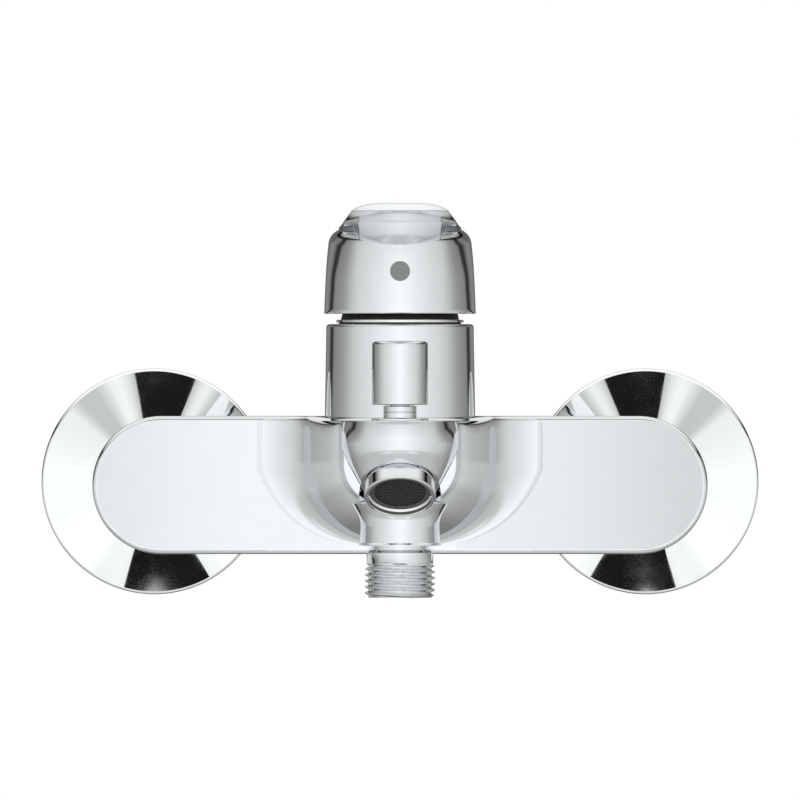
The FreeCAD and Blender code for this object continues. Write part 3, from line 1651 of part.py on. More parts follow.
thread.ReferenceAxis = (thread_sketch, ["V_Axis"])
thread.Mode = "pitch-height-angle"
bind(thread, "Pitch", s.shower_thread_pitch)
bind(thread, "Height", shower_thread_top_z - shower_bottom_z + s.shower_thread_pitch)
o_ring(
    "nipple_o_ring",
    nipple_fit_radius - s.o_ring_wire,
    s.o_ring_wire,
    out=outlet_out,
    up=o_ring_z,
)
valve = piece("check_valve_body", **on_outlet)
valve_top_z = outlet_bore_top_z - s.valve_inset
valve_outer = s.shower_bore_radius - s.valve_body_clearance
seat_face_z = valve_top_z - s.valve_seat_thickness
poppet_top_z = seat_face_z - s.poppet_gap
poppet_low_z = poppet_top_z - s.poppet_thickness
guide_top_z = poppet_low_z - s.poppet_travel - s.valve_spring_closed
guide_bottom_z = guide_top_z - s.guide_thickness
turned(
    valve,
    "cage",
    [
        (s.valve_seat_radius, valve_top_z),
        (s.valve_seat_radius, seat_face_z),
        (s.valve_bore_radius, seat_face_z),
        (s.valve_bore_radius, guide_top_z),
        (s.poppet_stem_radius + s.guide_clearance, guide_top_z),
        (s.poppet_stem_radius + s.guide_clearance, guide_bottom_z),
        (s.valve_bore_radius, guide_bottom_z),
        (s.valve_bore_radius, valve_shoulder_z),
        (valve_outer, valve_shoulder_z),
        (valve_outer, valve_top_z),
    ],
)
GUIDE_HOLES = 6
for index in range(GUIDE_HOLES):
    angle = math.radians(FULL_TURN / GUIDE_HOLES * index)
    drilled(
        valve,
        f"guide_hole_{index}",
        s.guide_hole_radius,
        s.guide_thickness,
        (
            s.guide_hole_circle * math.cos(angle),
            s.guide_hole_circle * math.sin(angle),
            guide_bottom_z,
        ),
    )
poppet = piece("check_valve_poppet", **on_outlet)
turned(
    poppet,
    "poppet",
    [
        (0, poppet_top_z),
        (s.valve_bore_radius - s.poppet_rim, poppet_top_z),
        (s.valve_bore_radius - s.poppet_rim, poppet_low_z),
        (s.poppet_stem_radius, poppet_low_z),
        (s.poppet_stem_radius, guide_bottom_z - s.poppet_stem_proud),
        (0, guide_bottom_z - s.poppet_stem_proud),
    ],
)
valve_spring = piece("check_valve_spring", **on_outlet)
coil(
    valve_spring,
    "coils",
    s.valve_spring_radius,
    s.valve_spring_wire,
    guide_top_z,
    poppet_low_z,
    s.valve_spring_turns,
)

# Aerator: a screwed housing with a seal, a plastic insert and a fine screen, on the tilted axis
on_aerator = {"out": aerator_out, "up": aerator_z, "turn": aerator_turn}
insert_front = s.aerator_length - s.aerator_recess - s.aerator_mouth_bevel
aerator = piece("aerator_housing", **on_aerator)
turned(
    aerator,
    "housing",
    [
        (aerator_insert_radius, -s.aerator_thread_length),
        (aerator_thread_radius, -s.aerator_thread_length),
        (aerator_thread_radius, s.aerator_groove),
        (s.aerator_radius, s.aerator_groove),
        (s.aerator_radius, s.aerator_length, s.aerator_edge_round),
        (s.aerator_mouth_radius, s.aerator_length),
        (s.aerator_mouth_radius, s.aerator_length - s.aerator_recess),
        (aerator_insert_radius, insert_front),
    ],
)
insert = piece("aerator_insert", **on_aerator)
turned(
    insert,
    "insert",
    [
        (0, -s.aerator_thread_length),
        (aerator_insert_radius - s.outlet_fit_clearance, -s.aerator_thread_length),
        (aerator_insert_radius - s.outlet_fit_clearance, insert_front),
        (s.aerator_screen_radius, insert_front),
        (s.aerator_screen_radius, insert_front - s.aerator_screen_thickness),
        (0, insert_front - s.aerator_screen_thickness),
    ],
)
screen = piece("aerator_screen", **on_aerator)
screen_radius = s.aerator_screen_radius - s.outlet_fit_clearance
turned(
    screen,
    "screen",
    [
        (0, insert_front - s.aerator_screen_thickness),
        (screen_radius, insert_front - s.aerator_screen_thickness),
        (screen_radius, insert_front),
        (0, insert_front),
    ],
)
aerator_seal = piece("aerator_seal", **on_aerator)
tube(
    aerator_seal,
    "seal",
    s.aerator_way_radius,
    aerator_thread_radius,
    -seal_depth,
    -s.aerator_thread_length,
)

doc.recompute()

# Checks before anything is written
for item in doc.Objects:
    for word in ("Invalid", "Error"):
        if word in item.State:
            raise RuntimeError(f"{item.Name} ({item.Label}) failed: {item.State}")
CUTS = ("Groove", "Pocket", "SubtractiveCylinder", "SubtractiveHelix")
for body in pieces:
    volume = 0.0
    for feature in body.Group:
        if not feature.isDerivedFrom("PartDesign::Feature"):
            continue
        cut = feature.TypeId.split("::")[1] in CUTS
        if cut and feature.Shape.Volume >= volume:
            raise RuntimeError(f"{body.Label}: {feature.Name} cuts nothing")
        volume = feature.Shape.Volume
    if body.Shape.isNull() or not body.Shape.isValid():
        raise RuntimeError(f"{body.Label} is not a valid shape")

os.makedirs("parts", exist_ok=True)
for body in pieces:
    body.Shape.exportStep(os.path.join("parts", f"{body.Label}.step"))
    print(f"{body.Label}: {len(body.Shape.Solids)} solids, {body.Shape.Volume / 1000:.2f} cm3")
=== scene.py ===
import bmesh
import bpy
import math
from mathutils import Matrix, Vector


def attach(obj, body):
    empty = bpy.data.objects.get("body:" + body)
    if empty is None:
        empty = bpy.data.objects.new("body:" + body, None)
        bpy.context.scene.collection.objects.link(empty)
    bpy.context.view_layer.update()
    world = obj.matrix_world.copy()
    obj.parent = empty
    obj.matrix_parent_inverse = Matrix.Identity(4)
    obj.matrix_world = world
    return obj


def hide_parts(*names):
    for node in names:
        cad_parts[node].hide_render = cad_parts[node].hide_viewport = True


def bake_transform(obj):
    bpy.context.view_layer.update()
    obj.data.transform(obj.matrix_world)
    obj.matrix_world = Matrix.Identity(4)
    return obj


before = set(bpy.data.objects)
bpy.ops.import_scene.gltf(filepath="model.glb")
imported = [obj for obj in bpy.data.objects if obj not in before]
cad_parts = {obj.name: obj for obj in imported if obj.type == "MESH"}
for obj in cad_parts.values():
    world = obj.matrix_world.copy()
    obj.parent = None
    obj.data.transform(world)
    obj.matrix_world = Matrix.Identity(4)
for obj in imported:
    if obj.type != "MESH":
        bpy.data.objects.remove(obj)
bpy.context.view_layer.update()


# WALL CONNECTORS: two turned brass pipes, 150 mm apart, that screw into the fittings in the wall.
# They are left as turned, with the fine rings of the lathe tool and a little tarnish.
def add_node(tree, kind, inputs=None, operation=None, data_type=None):
    """A new node in a tree; each of its inputs takes a value or another node's output."""
    node = tree.nodes.new("ShaderNode" + kind)
    if operation:
        node.operation = operation
    if data_type:
        node.data_type = data_type
    for socket, source in (inputs or {}).items():
        if isinstance(source, bpy.types.NodeSocket):
            tree.links.new(source, node.inputs[socket])
        else:
            node.inputs[socket].default_value = source
    return node


# the noise of a grain keeps almost wholly between these
GRAIN_LOW = 0.3
GRAIN_HIGH = 0.7


def finish(name, colour, metal, gloss_loss, grain, tint=0.05, spread=0.3, relief=0.0, stretch=(1, 1, 1)):
    """A material with a grain this many mm long that shifts its colour, its gloss and its surface."""
    material = bpy.data.materials.new(name)
    material.use_nodes = True
    tree = material.node_tree
    shader = tree.nodes["Principled BSDF"]
    shader.inputs["Metallic"].default_value = metal
    place = add_node(tree, "TexCoord")
    size = add_node(
        tree, "Mapping", {"Vector": place.outputs["Object"], "Scale": [1000 / grain * s for s in stretch]}
    )
    noise = add_node(tree, "TexNoise", {"Vector": size.outputs["Vector"], "Scale": 1.0, "Detail": 3.0})
    grain_noise = noise.outputs["Fac"]
    ramp = add_node(tree, "ValToRGB", {"Fac": grain_noise})
    ends = ((GRAIN_LOW, 1 - tint), (GRAIN_HIGH, 1 + tint))
    for stop, (position, shift) in zip(ramp.color_ramp.elements, ends):
        stop.position = position
        stop.color = (*[min(1, c * shift) for c in colour], 1)
    tree.links.new(ramp.outputs["Color"], shader.inputs["Base Color"])
    gloss_range = {
        "Value": grain_noise,
        "From Min": GRAIN_LOW,
        "From Max": GRAIN_HIGH,
        "To Min": gloss_loss * (1 - spread),
        "To Max": gloss_loss * (1 + spread),
    }
    gloss = add_node(tree, "MapRange", gloss_range)
    tree.links.new(gloss.outputs["Result"], shader.inputs["Roughness"])
    if relief:
        bump = add_node(
            tree, "Bump", {"Strength": 1.0, "Distance": relief / 1000, "Height": grain_noise}
        )
        tree.links.new(bump.outputs["Normal"], shader.inputs["Normal"])
    return material


def dress(material, *names):
    """Gives CAD nodes that stay as they are their finish."""
    for name in names:
        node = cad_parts[name]
        if not node.data.materials:
            node.data.materials.append(material)
        for place in node.material_slots:
            place.material = material


turned_brass = finish(
    "turned_brass", (0.70, 0.53, 0.25), metal=1.0, gloss_loss=0.28, grain=0.5,
    tint=0.12, relief=0.01, stretch=(0.15, 3, 0.15),
)
dress(turned_brass, "wall_connector_hot", "wall_connector_cold")


# WALL FLANGES: two shallow cones of thin sheet brass, spun, rolled at the rim and chrome plated.
# Each slides over its connector up to the wall and hides the hole in the tiles.
INLET_X = 75.0  # mm, as all sizes of the tap's pieces
FLANGE_RADIUS = 34.5
FLANGE_NECK = 15.5
AWAY_FROM_WALL = (Vector((1, 0, 0)), Vector((0, 0, 1)), Vector((0, -1, 0)))
ARC_STEP = 6.0  # degrees
ARC_MARGIN = 0.02
WELD_GAP = 2e-7  # metres


def soft_path(corners):
    """Points along corners (point, rounding); a rounding becomes an arc of short steps."""
    path = []
    for i, (corner, rounding) in enumerate(corners):
        here = Vector(corner)
        if not rounding or i in (0, len(corners) - 1):
            path.append(here)
            continue
        back = (Vector(corners[i - 1][0]) - here).normalized()
        on = (Vector(corners[i + 1][0]) - here).normalized()
        half = back.angle(on) / 2
        inward = (back + on).normalized()
        along = (on - back).normalized()
        centre = here + inward * (rounding / math.sin(half))
        turn = math.pi / 2 - half
        parts = max(3, math.ceil(2 * math.degrees(turn) / ARC_STEP))
        reach = rounding / math.tan(half)
        # a hair of straight run beside the arc keeps the arc's shading out of the flat
        path.append(here + back * (reach + ARC_MARGIN))
        for k in range(parts + 1):
            angle = turn * (2 * k / parts - 1)
            spoke = along * math.sin(angle) - inward * math.cos(angle)
            path.append(centre + spoke * rounding)
        path.append(here + on * (reach + ARC_MARGIN))
    return path


def turned_rows(corners, centre, axes, parts=192, closed=True):
    """Rows of points round an axis; corners are (radius, height) or (radius, height, rounding)."""
    across, side, up = axes
    outline = [((c[0], c[1]), c[2] if len(c) > 2 else 0) for c in corners]
    path = soft_path(outline)
    if closed:
        path.append(path[0])
    rows = []
    for radius, height in path:
        row = []
        for k in range(parts):
            angle = 2 * math.pi * k / parts
            spoke = across * math.cos(angle) + side * math.sin(angle)
            row.append(Vector(centre) + spoke * radius + up * height)
        rows.append(row)
    return rows


def skin(rows, ring=True):
    """Points and faces over rows that are equally long; ring closes each row on itself."""
    width = len(rows[0])
    faces = []
    for i in range(len(rows) - 1):
        for k in range(width if ring else width - 1):
            after = (k + 1) % width
            low, high = i * width, (i + 1) * width
            faces.append((low + k, low + after, high + after, high + k))
    return [p for row in rows for p in row], faces


def cast_piece(name, skins, material, body, replaced, sharp=30, pressed=None):
    """One piece from skins in mm: welded, shaded smooth up to its sharp edges, on its body.

    Given pressed (a spring's other body and its two ends), the piece stays in place on no body; the other
    body and the ends are not read.
    """
    build = bmesh.new()
    for points, faces in skins:
        corners = [build.verts.new(Vector(p) / 1000) for p in points]
        for face in faces:
            build.faces.new([corners[k] for k in face])
    bmesh.ops.remove_doubles(build, verts=build.verts, dist=WELD_GAP)
    bmesh.ops.recalc_face_normals(build, faces=build.faces)
    mesh = bpy.data.meshes.new(name)
    build.to_mesh(mesh)
    build.free()
    mesh.shade_smooth()
    mesh.set_sharp_from_angle(angle=math.radians(sharp))
    mesh.materials.append(material)
    piece = bpy.data.objects.new(name, mesh)
    bpy.context.scene.collection.objects.link(piece)
    if pressed:
        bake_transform(piece)
    else:
        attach(piece, body)
    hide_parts(*replaced)
    return piece


# a copy of the chrome with a nearly white base colour, brighter than the body's: painted light that makes
# the flanges show whiter
flange_chrome_painted_bright = finish(
    "flange_chrome_painted_bright", (0.975, 0.985, 0.985), metal=1.0, gloss_loss=0.035, grain=9.0, tint=0.008, spread=0.35
)
for side, x in (("hot", -INLET_X), ("cold", INLET_X)):
    flange_rows = turned_rows(
        [
            (33.6, 0.0),
            (FLANGE_RADIUS, 0.0),
            (FLANGE_RADIUS, 1.75, 1.2),
            (FLANGE_NECK, 7.6, 1.5),
            (FLANGE_NECK, 12.6, 0.3),
            (13.3, 12.6),
            (13.3, 6.7),
            (14.6, 6.7),
            (33.6, 0.3),
        ],
        (x, 0, 0),
        AWAY_FROM_WALL,
    )
    cast_piece(
        f"flange_cover_{side}",
        [skin(flange_rows)],
        flange_chrome_painted_bright,
        "tap_body",
        [f"wall_flange_{side}"],
    )


# UNIONS: a hexagon nut draws the nipple in the bar's back onto the connector, over a rubber washer.
# Nuts and nipples are brass, chrome plated because they show from above and from below.
plain_chrome = finish(
    "plain_chrome", (0.78, 0.79, 0.80), metal=1.0, gloss_loss=0.07, grain=3.0, tint=0.02, relief=0.002
)
washer_rubber = finish(
    "washer_rubber", (0.025, 0.025, 0.025), metal=0.0, gloss_loss=0.75, grain=0.4, tint=0.3, relief=0.01
)
dress(plain_chrome, "union_nut_hot", "union_nut_cold", "inlet_nipple_hot", "inlet_nipple_cold")
dress(washer_rubber, "union_washer_hot", "union_washer_cold")


# TAP BODY: one brass casting, ground, polished to a mirror and chrome plated. A slab-shaped bar joins
# both inlets; a round dome on it holds the cartridge; a hub flares off its front into the spout, whose
# bowl carries the aerator below and the diverter knob above; a collar under it takes the shower outlet.
BAR_END_X = 71.825
BAR_RADIUS = 20.775
BAR_MIDDLE_Z = -0.725
BAR_TOP_Z = BAR_MIDDLE_Z + BAR_RADIUS
BAR_BACK_OUT = 34.0
BAR_FRONT_OUT = 62.0
BAR_EDGE = 1.5
BAR_END_PARTS = 48

polished_chrome = finish(
    "polished_chrome", (0.775, 0.785, 0.79), metal=1.0, gloss_loss=0.03, grain=7.0, tint=0.01, spread=0.4
)


def bar_row(inset, out):
    """The bar's outline drawn in by inset, this far out from the wall."""
    radius = BAR_RADIUS - inset
    row = []
    for end, first in ((1, -90), (-1, 90)):
        for k in range(BAR_END_PARTS + 1):
            angle = math.radians(first + 180 * k / BAR_END_PARTS)
            x = end * BAR_END_X + radius * math.cos(angle)
            row.append(Vector((x, -out, BAR_MIDDLE_Z + radius * math.sin(angle))))
    return row


bar_profile = soft_path(
    [
        ((BAR_RADIUS, BAR_BACK_OUT), 0),
        ((0.0, BAR_BACK_OUT), BAR_EDGE),
        ((0.0, BAR_FRONT_OUT), BAR_EDGE),
        ((BAR_RADIUS, BAR_FRONT_OUT), 0),
    ]
)
bar_skin = skin([bar_row(inset, out) for inset, out in bar_profile])

# the hub leaves the bar in a flare that turns by HUB_TURN, then leans in to the narrow throat
SPOUT_TOP_Z = 18.75
SPOUT_EDGE = 0.8
HUB_HALF_WIDTH = 27.9
HUB_MIDDLE_Z = 4.0
HUB_BOTTOM_Z = -18.6
HUB_TURN = math.radians(52.0)
HUB_POWER = 2.2
HUB_FLARE_REACH = 15.0
KEEL_FLARE_REACH = 1.2
FLARE_GROWTH = 0.61
FLARE_STEPS = 14
DIP_REACH = 0.3
DIP_DEPTH = 0.004
SIDE_PARTS = 6
KEEL_PARTS = 30
EDGE_PARTS = 6
THROAT_HALF_WIDTH = 17.2
TOP_FALL_RUN = 14.0
FOOT_RUN = 16.0
MIDDLE_RISE = 2.0
KEEL_RISE = 11.15
SHOULDER_SOFTNESS = 2.0


def smooth_step(share):
    """A share from 0 to 1 that starts and ends gently."""
    share = min(1.0, max(0.0, share))
    return share * share * (3 - 2 * share)


def hub_side(half_width, start_z, middle_z, bottom_z):
    """The hub's right side as points (x, z): upright down to its middle, then round to the keel."""
    points = [(half_width, start_z + (middle_z - start_z) * k / SIDE_PARTS) for k in range(SIDE_PARTS)]
    for k in range(KEEL_PARTS + 1):
        angle = math.pi / 2 * k / KEEL_PARTS
        across = half_width * abs(math.cos(angle)) ** (2 / HUB_POWER)
        down = (middle_z - bottom_z) * abs(math.sin(angle)) ** (2 / HUB_POWER)
        points.append((across, middle_z - down))
    return points


def hub_row(wall, facing, top_z, rounding, side):
    """A whole row over the hub from its right keel to its left one, given the right side's points."""
    wall_x, wall_out = wall
    top = []
    for k in range(EDGE_PARTS + 1):
        angle = math.pi / 2 * k / EDGE_PARTS
        inward = rounding * (1 - math.cos(angle))
        x = wall_x - facing.x * inward
        out = wall_out - facing.y * inward
        top.append(Vector((x, -out, top_z - rounding + rounding * math.sin(angle))))
    edge = top[-1]
    middle = [Vector((edge.x * share, edge.y, top_z)) for share in (0.998, 0.5, 0.0)]
    right = list(reversed(side)) + top[1:] + middle
    left = [Vector((-p.x, p.y, p.z)) for p in reversed(right[:-1])]
    return right + left


hub_foot = hub_side(HUB_HALF_WIDTH, BAR_TOP_Z - BAR_EDGE, HUB_MIDDLE_Z, HUB_BOTTOM_Z)
foot_normals = []
for k in range(len(hub_foot)):
    before = Vector(hub_foot[max(k - 1, 0)])
    after = Vector(hub_foot[min(k + 1, len(hub_foot) - 1)])
    run = (after - before).normalized()
    foot_normals.append(Vector((-run.y, run.x)))
foot_normals[-1] = Vector((0, -1))
# the fillet onto the bar is wide at the sides and runs out where the bar's lower edge is near
flare_reach = [
    min(HUB_FLARE_REACH, KEEL_FLARE_REACH + FLARE_GROWTH * (z - HUB_BOTTOM_Z)) for x, z in hub_foot
]
foot_lift = (1 - math.cos(HUB_TURN)) / math.sin(HUB_TURN)

hub_rows = []
for step in range(-1, FLARE_STEPS + 1):
    turn = HUB_TURN * max(step, 0) / FLARE_STEPS
    # the first row dips just under the bar's face, so that no step shows
    beyond, sunk = (DIP_REACH, DIP_DEPTH) if step < 0 else (0, 0)
    side = []
    for (x, z), normal, reach in zip(hub_foot, foot_normals, flare_reach):
        radius = reach / math.sin(HUB_TURN)
        away = reach - radius * math.sin(turn) + beyond
        out = BAR_FRONT_OUT + radius * (1 - math.cos(turn)) - sunk
        side.append(Vector((x + normal.x * away, -out, z + normal.y * away)))
    facing = Vector((math.sin(turn), math.cos(turn)))
    hub_rows.append(hub_row((side[0].x, -side[0].y), facing, BAR_TOP_Z, BAR_EDGE, side))

# past the crease the shoulder leans back towards the bowl, then the throat runs on to the spout;
# the shoulder is (half width, slope in degrees), the walls are (half width, out, slope)
hub_shoulder = [
    (27.3, 50.0), (26.6, 48.5), (25.6, 47.5), (24.4, 46.5), (23.2, 46.0), (22.0, 45.0), (21.0, 43.5),
    (20.1, 41.0), (19.3, 38.5), (18.6, 37.0), (18.1, 40.0), (17.75, 55.0), (17.5, 75.0), (17.4, 84.0),
]
hub_walls = []
foot_out = BAR_FRONT_OUT + HUB_FLARE_REACH * foot_lift
wall_x, wall_out, wall_slope = HUB_HALF_WIDTH, foot_out, math.degrees(HUB_TURN)
for half_width, slope in hub_shoulder:
    wall_out += (wall_x - half_width) * math.tan(math.radians((slope + wall_slope) / 2))
    wall_x, wall_slope = half_width, slope
    hub_walls.append((wall_x, wall_out, wall_slope))
hub_walls += [
    (17.3, 88.0, 86.0), (17.2, 93.0, 86.5), (17.05, 98.0, 87.0), (16.9, 104.0, 87.0), (16.7, 109.0, 88.0),
]
for half_width, out, slope in hub_walls:
    narrowing = (HUB_HALF_WIDTH - half_width) / (HUB_HALF_WIDTH - THROAT_HALF_WIDTH)
    top_z = BAR_TOP_Z + (SPOUT_TOP_Z - BAR_TOP_Z) * smooth_step((out - foot_out) / TOP_FALL_RUN)
    rounding = BAR_EDGE + (SPOUT_EDGE - BAR_EDGE) * min(1, narrowing)
    rounding += SHOULDER_SOFTNESS * max(0.0, math.sin(math.pi * min(1, narrowing))) ** 0.7
    middle_z = HUB_MIDDLE_Z + MIDDLE_RISE * narrowing
    bottom_z = HUB_BOTTOM_Z + KEEL_RISE * narrowing
    # near the foot the row still follows the shorter flare of the keel
    following = max(0.0, 1 - (out - foot_out) / FOOT_RUN) ** 2
    side = []
    for (x, z), reach in zip(hub_side(half_width, top_z - rounding, middle_z, bottom_z), flare_reach):
        sunk = (HUB_FLARE_REACH - reach) * foot_lift * following
        side.append(Vector((x, -(out - sunk), z)))
    facing = Vector((math.sin(math.radians(slope)), math.cos(math.radians(slope))))
    hub_rows.append(hub_row((half_width, out), facing, top_z, rounding, side))

# the diverter's valve moves in an upright chamber, which the casting leaves open
OUTLET_OUT = 98.0
CHAMBER_RADIUS = 7.4
CHAMBER_LOW_Z = -8.6
CHAMBER_HIGH_Z = 14.6


def bored(points, faces):
    """A skin without what would cross the diverter's chamber."""
    inside = []
    for p in points:
        in_bore = math.hypot(p.x, p.y + OUTLET_OUT) < CHAMBER_RADIUS
        inside.append(in_bore and CHAMBER_LOW_Z < p.z < CHAMBER_HIGH_Z)
    return points, [face for face in faces if not any(inside[k] for k in face)]


hub_skin = bored(*skin(hub_rows, ring=False))

UPRIGHT = (Vector((1, 0, 0)), Vector((0, -1, 0)), Vector((0, 0, 1)))
DOME_OUT = 65.0
dome_rows = turned_rows(
    [
        (0.0, 18.6),
        (25.0, 18.6),
        (22.62, 18.6, 1.2),
        (22.15, 47.65, 0.9),
        (18.4, 47.65),
        (18.4, 40.3),
        (17.5, 40.3),
        (17.5, 20.1),
        (0.0, 20.1),
    ],
    (0, -DOME_OUT, 0),
    UPRIGHT,
    parts=256,
)

AERATOR_AT = Vector((0, -117.5, 0.1))
AERATOR_TILT = math.radians(34.3)
UP_FRONT = Vector((0, -math.cos(AERATOR_TILT), math.sin(AERATOR_TILT)))
SEAT_RADIUS = 11.6
BOWL_OUT = 112.0
BOWL_RADIUS = 17.6
BOWL_TOP_RADIUS = 16.55
BOWL_WAIST_Z = 12.7
BOWL_UNDER_Z = 9.3
BOWL_BULGE = 0.0204
BOWL_EDGE = 0.4
BOWL_PARTS = 192


def bowl_point(angle, radius, z):
    """A point of the bowl at this angle round its upright axis."""
    return Vector((radius * math.cos(angle), -BOWL_OUT - radius * math.sin(angle), z))


def drawn_curve(corners, share):
    """The point at a share of the way along a smooth curve that four corners draw."""
    rest = 1 - share
    pulls = (rest**3, 3 * share * rest**2, 3 * share * share * rest, share**3)
    point = Vector(corners[0]) * pulls[0]
    for corner, pull in zip(corners[1:], pulls[1:]):
        point += Vector(corner) * pull
    return point


bowl_spokes = []
for k in range(BOWL_PARTS):
    angle = 2 * math.pi * k / BOWL_PARTS
    path = [bowl_point(angle, radius, SPOUT_TOP_Z) for radius in (0.0, 16.0)]
    edge_z = SPOUT_TOP_Z - BOWL_EDGE
    for part in range(5):
        turn = math.pi / 2 * part / 4
        radius = BOWL_TOP_RADIUS + BOWL_EDGE * math.sin(turn)
        path.append(bowl_point(angle, radius, edge_z + BOWL_EDGE * math.cos(turn)))
    # the bowl bulges to its waist, then draws in to the tilted seat of the aerator
    for part in range(1, 13):
        z = edge_z + (BOWL_WAIST_Z - edge_z) * part / 12
        path.append(bowl_point(angle, BOWL_RADIUS - BOWL_BULGE * (z - BOWL_WAIST_Z) ** 2, z))
    seat = AERATOR_AT + Vector((SEAT_RADIUS * math.cos(angle), 0, 0))
    seat += UP_FRONT * SEAT_RADIUS * math.sin(angle)
    under = bowl_point(angle, BOWL_RADIUS, BOWL_UNDER_Z)
    drawn_in = (path[-1], under, under.lerp(seat, 0.35), seat)
    path += [drawn_curve(drawn_in, part / 24) for part in range(1, 25)]
    path.append(AERATOR_AT)
    bowl_spokes.append(path)
bowl_rows = [list(row) for row in zip(*bowl_spokes)]

collar_rows = turned_rows(
    [
        (9.05, CHAMBER_LOW_Z),
        (9.05, -18.5),
        (12.3, -18.5),
        (12.3, -18.2, 0.1),
        (11.9, -17.7),
        (11.75, -10.4, 8.0),
        (14.6, -6.0),
        (12.6, -5.2),
        (11.4, 2.0),
        (CHAMBER_RADIUS, 2.0),
        (CHAMBER_RADIUS, CHAMBER_LOW_Z),
    ],
    (0, -OUTLET_OUT, 0),
    UPRIGHT,
)
cast_piece(
    "body_casting",
    [bar_skin, hub_skin, skin(dome_rows), bored(*skin(bowl_rows)), skin(collar_rows)],
    polished_chrome,
    "tap_body",
    ["mixer_body"],
    sharp=28,
)


# CARTRIDGE: a moulded base and housing with rubber seals hold two lapped ceramic discs. The turret
# turns in the housing and carries the steel pivot pin; a brass ring nut clamps all of it in the dome.
moulded_plastic = finish(
    "moulded_plastic", (0.72, 0.73, 0.71), metal=0.0, gloss_loss=0.42, grain=1.2, tint=0.03, relief=0.004
)
lapped_ceramic = finish(
    "lapped_ceramic", (0.88, 0.88, 0.85), metal=0.0, gloss_loss=0.12, grain=0.6, tint=0.02
)
drawn_steel = finish(
    "drawn_steel", (0.58, 0.59, 0.60), metal=1.0, gloss_loss=0.25, grain=0.6,
    tint=0.05, relief=0.002, stretch=(0.2, 2, 2),
)
dress(moulded_plastic, "cartridge_base", "cartridge_housing", "turret", "disc_carrier")
dress(washer_rubber, "base_seals")
dress(lapped_ceramic, "fixed_disc", "moving_disc")
dress(drawn_steel, "pivot_pin")
dress(turned_brass, "cartridge_nut", "spindle")


# CAP RING AND HOOD: a bright turned ring lies on the dome, and a black moulded ball shell closes the
# gap under the lever at every angle of it. The shell's thin black foot under the ring is painted shade in
# the gap between ring and dome.
PIVOT_Z = 46.0
HOOD_RADIUS = 18.0
HOOD_WALL = 0.8
HOOD_PARTS = 24
cap_ring_rows = turned_rows(
    [(18.0, 48.15), (19.1, 48.15), (19.1, 48.95, 0.12), (18.0, 48.95, 0.12), (18.0, 48.15)],
    (0, -DOME_OUT, 0),
    UPRIGHT,
    closed=False,
)
cast_piece("bright_ring", [skin(cap_ring_rows)], polished_chrome, "tap_body", ["cap_ring"])

# the shell's black, which is also painted shade where its foot shows in the gap under the ring
satin_black_and_painted_shade = finish(
    "satin_black_and_painted_shade", (0.012, 0.012, 0.012), metal=0.0, gloss_loss=0.5, grain=0.5, tint=0.25, relief=0.003
)
hood_path = []
for radius, first, last in ((HOOD_RADIUS, 5.4, 43.8), (HOOD_RADIUS - HOOD_WALL, 43.8, 5.7)):
    for k in range(HOOD_PARTS + 1):
        angle = math.radians(first + (last - first) * k / HOOD_PARTS)
        hood_path.append((radius * math.cos(angle), PIVOT_Z + radius * math.sin(angle)))
# its foot is a thin black flange that the ring lies on: painted shade, a dark sheet that darkens the gap
# between ring and dome
hood_path += [(17.0, 47.66), (18.35, 47.66), (18.35, 48.15), (17.85, 48.15)]
hood_rows = turned_rows(hood_path, (0, -DOME_OUT, 0), UPRIGHT)
cast_piece("hood_shell", [skin(hood_rows)], satin_black_and_painted_shade, "tap_body", ["cartridge_hood"])


# LEVER: a zinc casting, polished and chrome plated like the body. A cup stands over the cartridge and
# its roof runs forward as a slim paddle with a bellied root. A grub screw in it grips the spindle.
def between(stations, reach):
    """The value at a reach from (reach, value) stations, along smooth curves between them."""
    if reach <= stations[0][0]:
        return stations[0][1]
    for i, (near, far) in enumerate(zip(stations, stations[1:])):
        if reach <= far[0]:
            gap = far[0] - near[0]
            slope = (far[1] - near[1]) / gap
            enter = slope
            leave = slope
            if i > 0:
                enter = (far[1] - stations[i - 1][1]) / (far[0] - stations[i - 1][0])
            if i + 2 < len(stations):
                leave = (stations[i + 2][1] - near[1]) / (stations[i + 2][0] - near[0])
            t = (reach - near[0]) / gap
            return (
                near[1] * (1 + 2 * t) * (1 - t) ** 2
                + far[1] * t * t * (3 - 2 * t)
                + gap * (enter * t * (1 - t) ** 2 - leave * t * t * (1 - t))
            )
    return stations[-1][1]


# the paddle's own lines, as (reach from the cup's axis, size or height)
half_width_at = [(-12, 13.0), (-6, 16.2), (0, 18.3), (20, 17.5), (40, 16.5), (85, 14.05)]
edge_z_at = [(-12, 75.2), (0, 76.3), (20, 77.2), (40, 78.3), (85, 80.75)]
crown_z_at = [(-12, 78.0), (0, 80.4), (20, 80.9), (40, 81.6), (85, 82.85)]
crown_power_at = [(0, 2.2), (20, 2.4), (85, 4.8)]
flat_half_width_at = [(0, 12.6), (36, 13.2), (55, 14.0), (85, 13.9)]
belly_drop_at = [
    (10, 7.0), (21.7, 5.5), (25, 3.95), (29, 2.55), (33.5, 1.4), (38, 0.6), (42, 0.15), (46, 0.0),
]
# the tip is bowed: (distance from its middle, reach)
tip_reach_at = [(0, 85.0), (7, 84.55), (12, 83.7), (15, 82.8)]
TIP_REACH = 85.0
BEND_REACH = 65.4
BACK_REACH = -10.0
TIP_EDGE = 0.4
EDGE_THICKNESS = 0.3
FLAT_Z = 77.5
FLAT_Z_REACH = 36.0
FLAT_RISE = 0.0602
BELLY_DEPTH = 5.5
BELLY_BOW = 0.0164
BELLY_HALF_WIDTH = 12.0
BELLY_SIDE = 1.5
CUP_INSIDE_RADIUS = 18.0
CUP_INSIDE_TOP_Z = 72.2
HALF_PARTS = 64
TO_MIDDLE = 9.0  # more than half the paddle's thickness


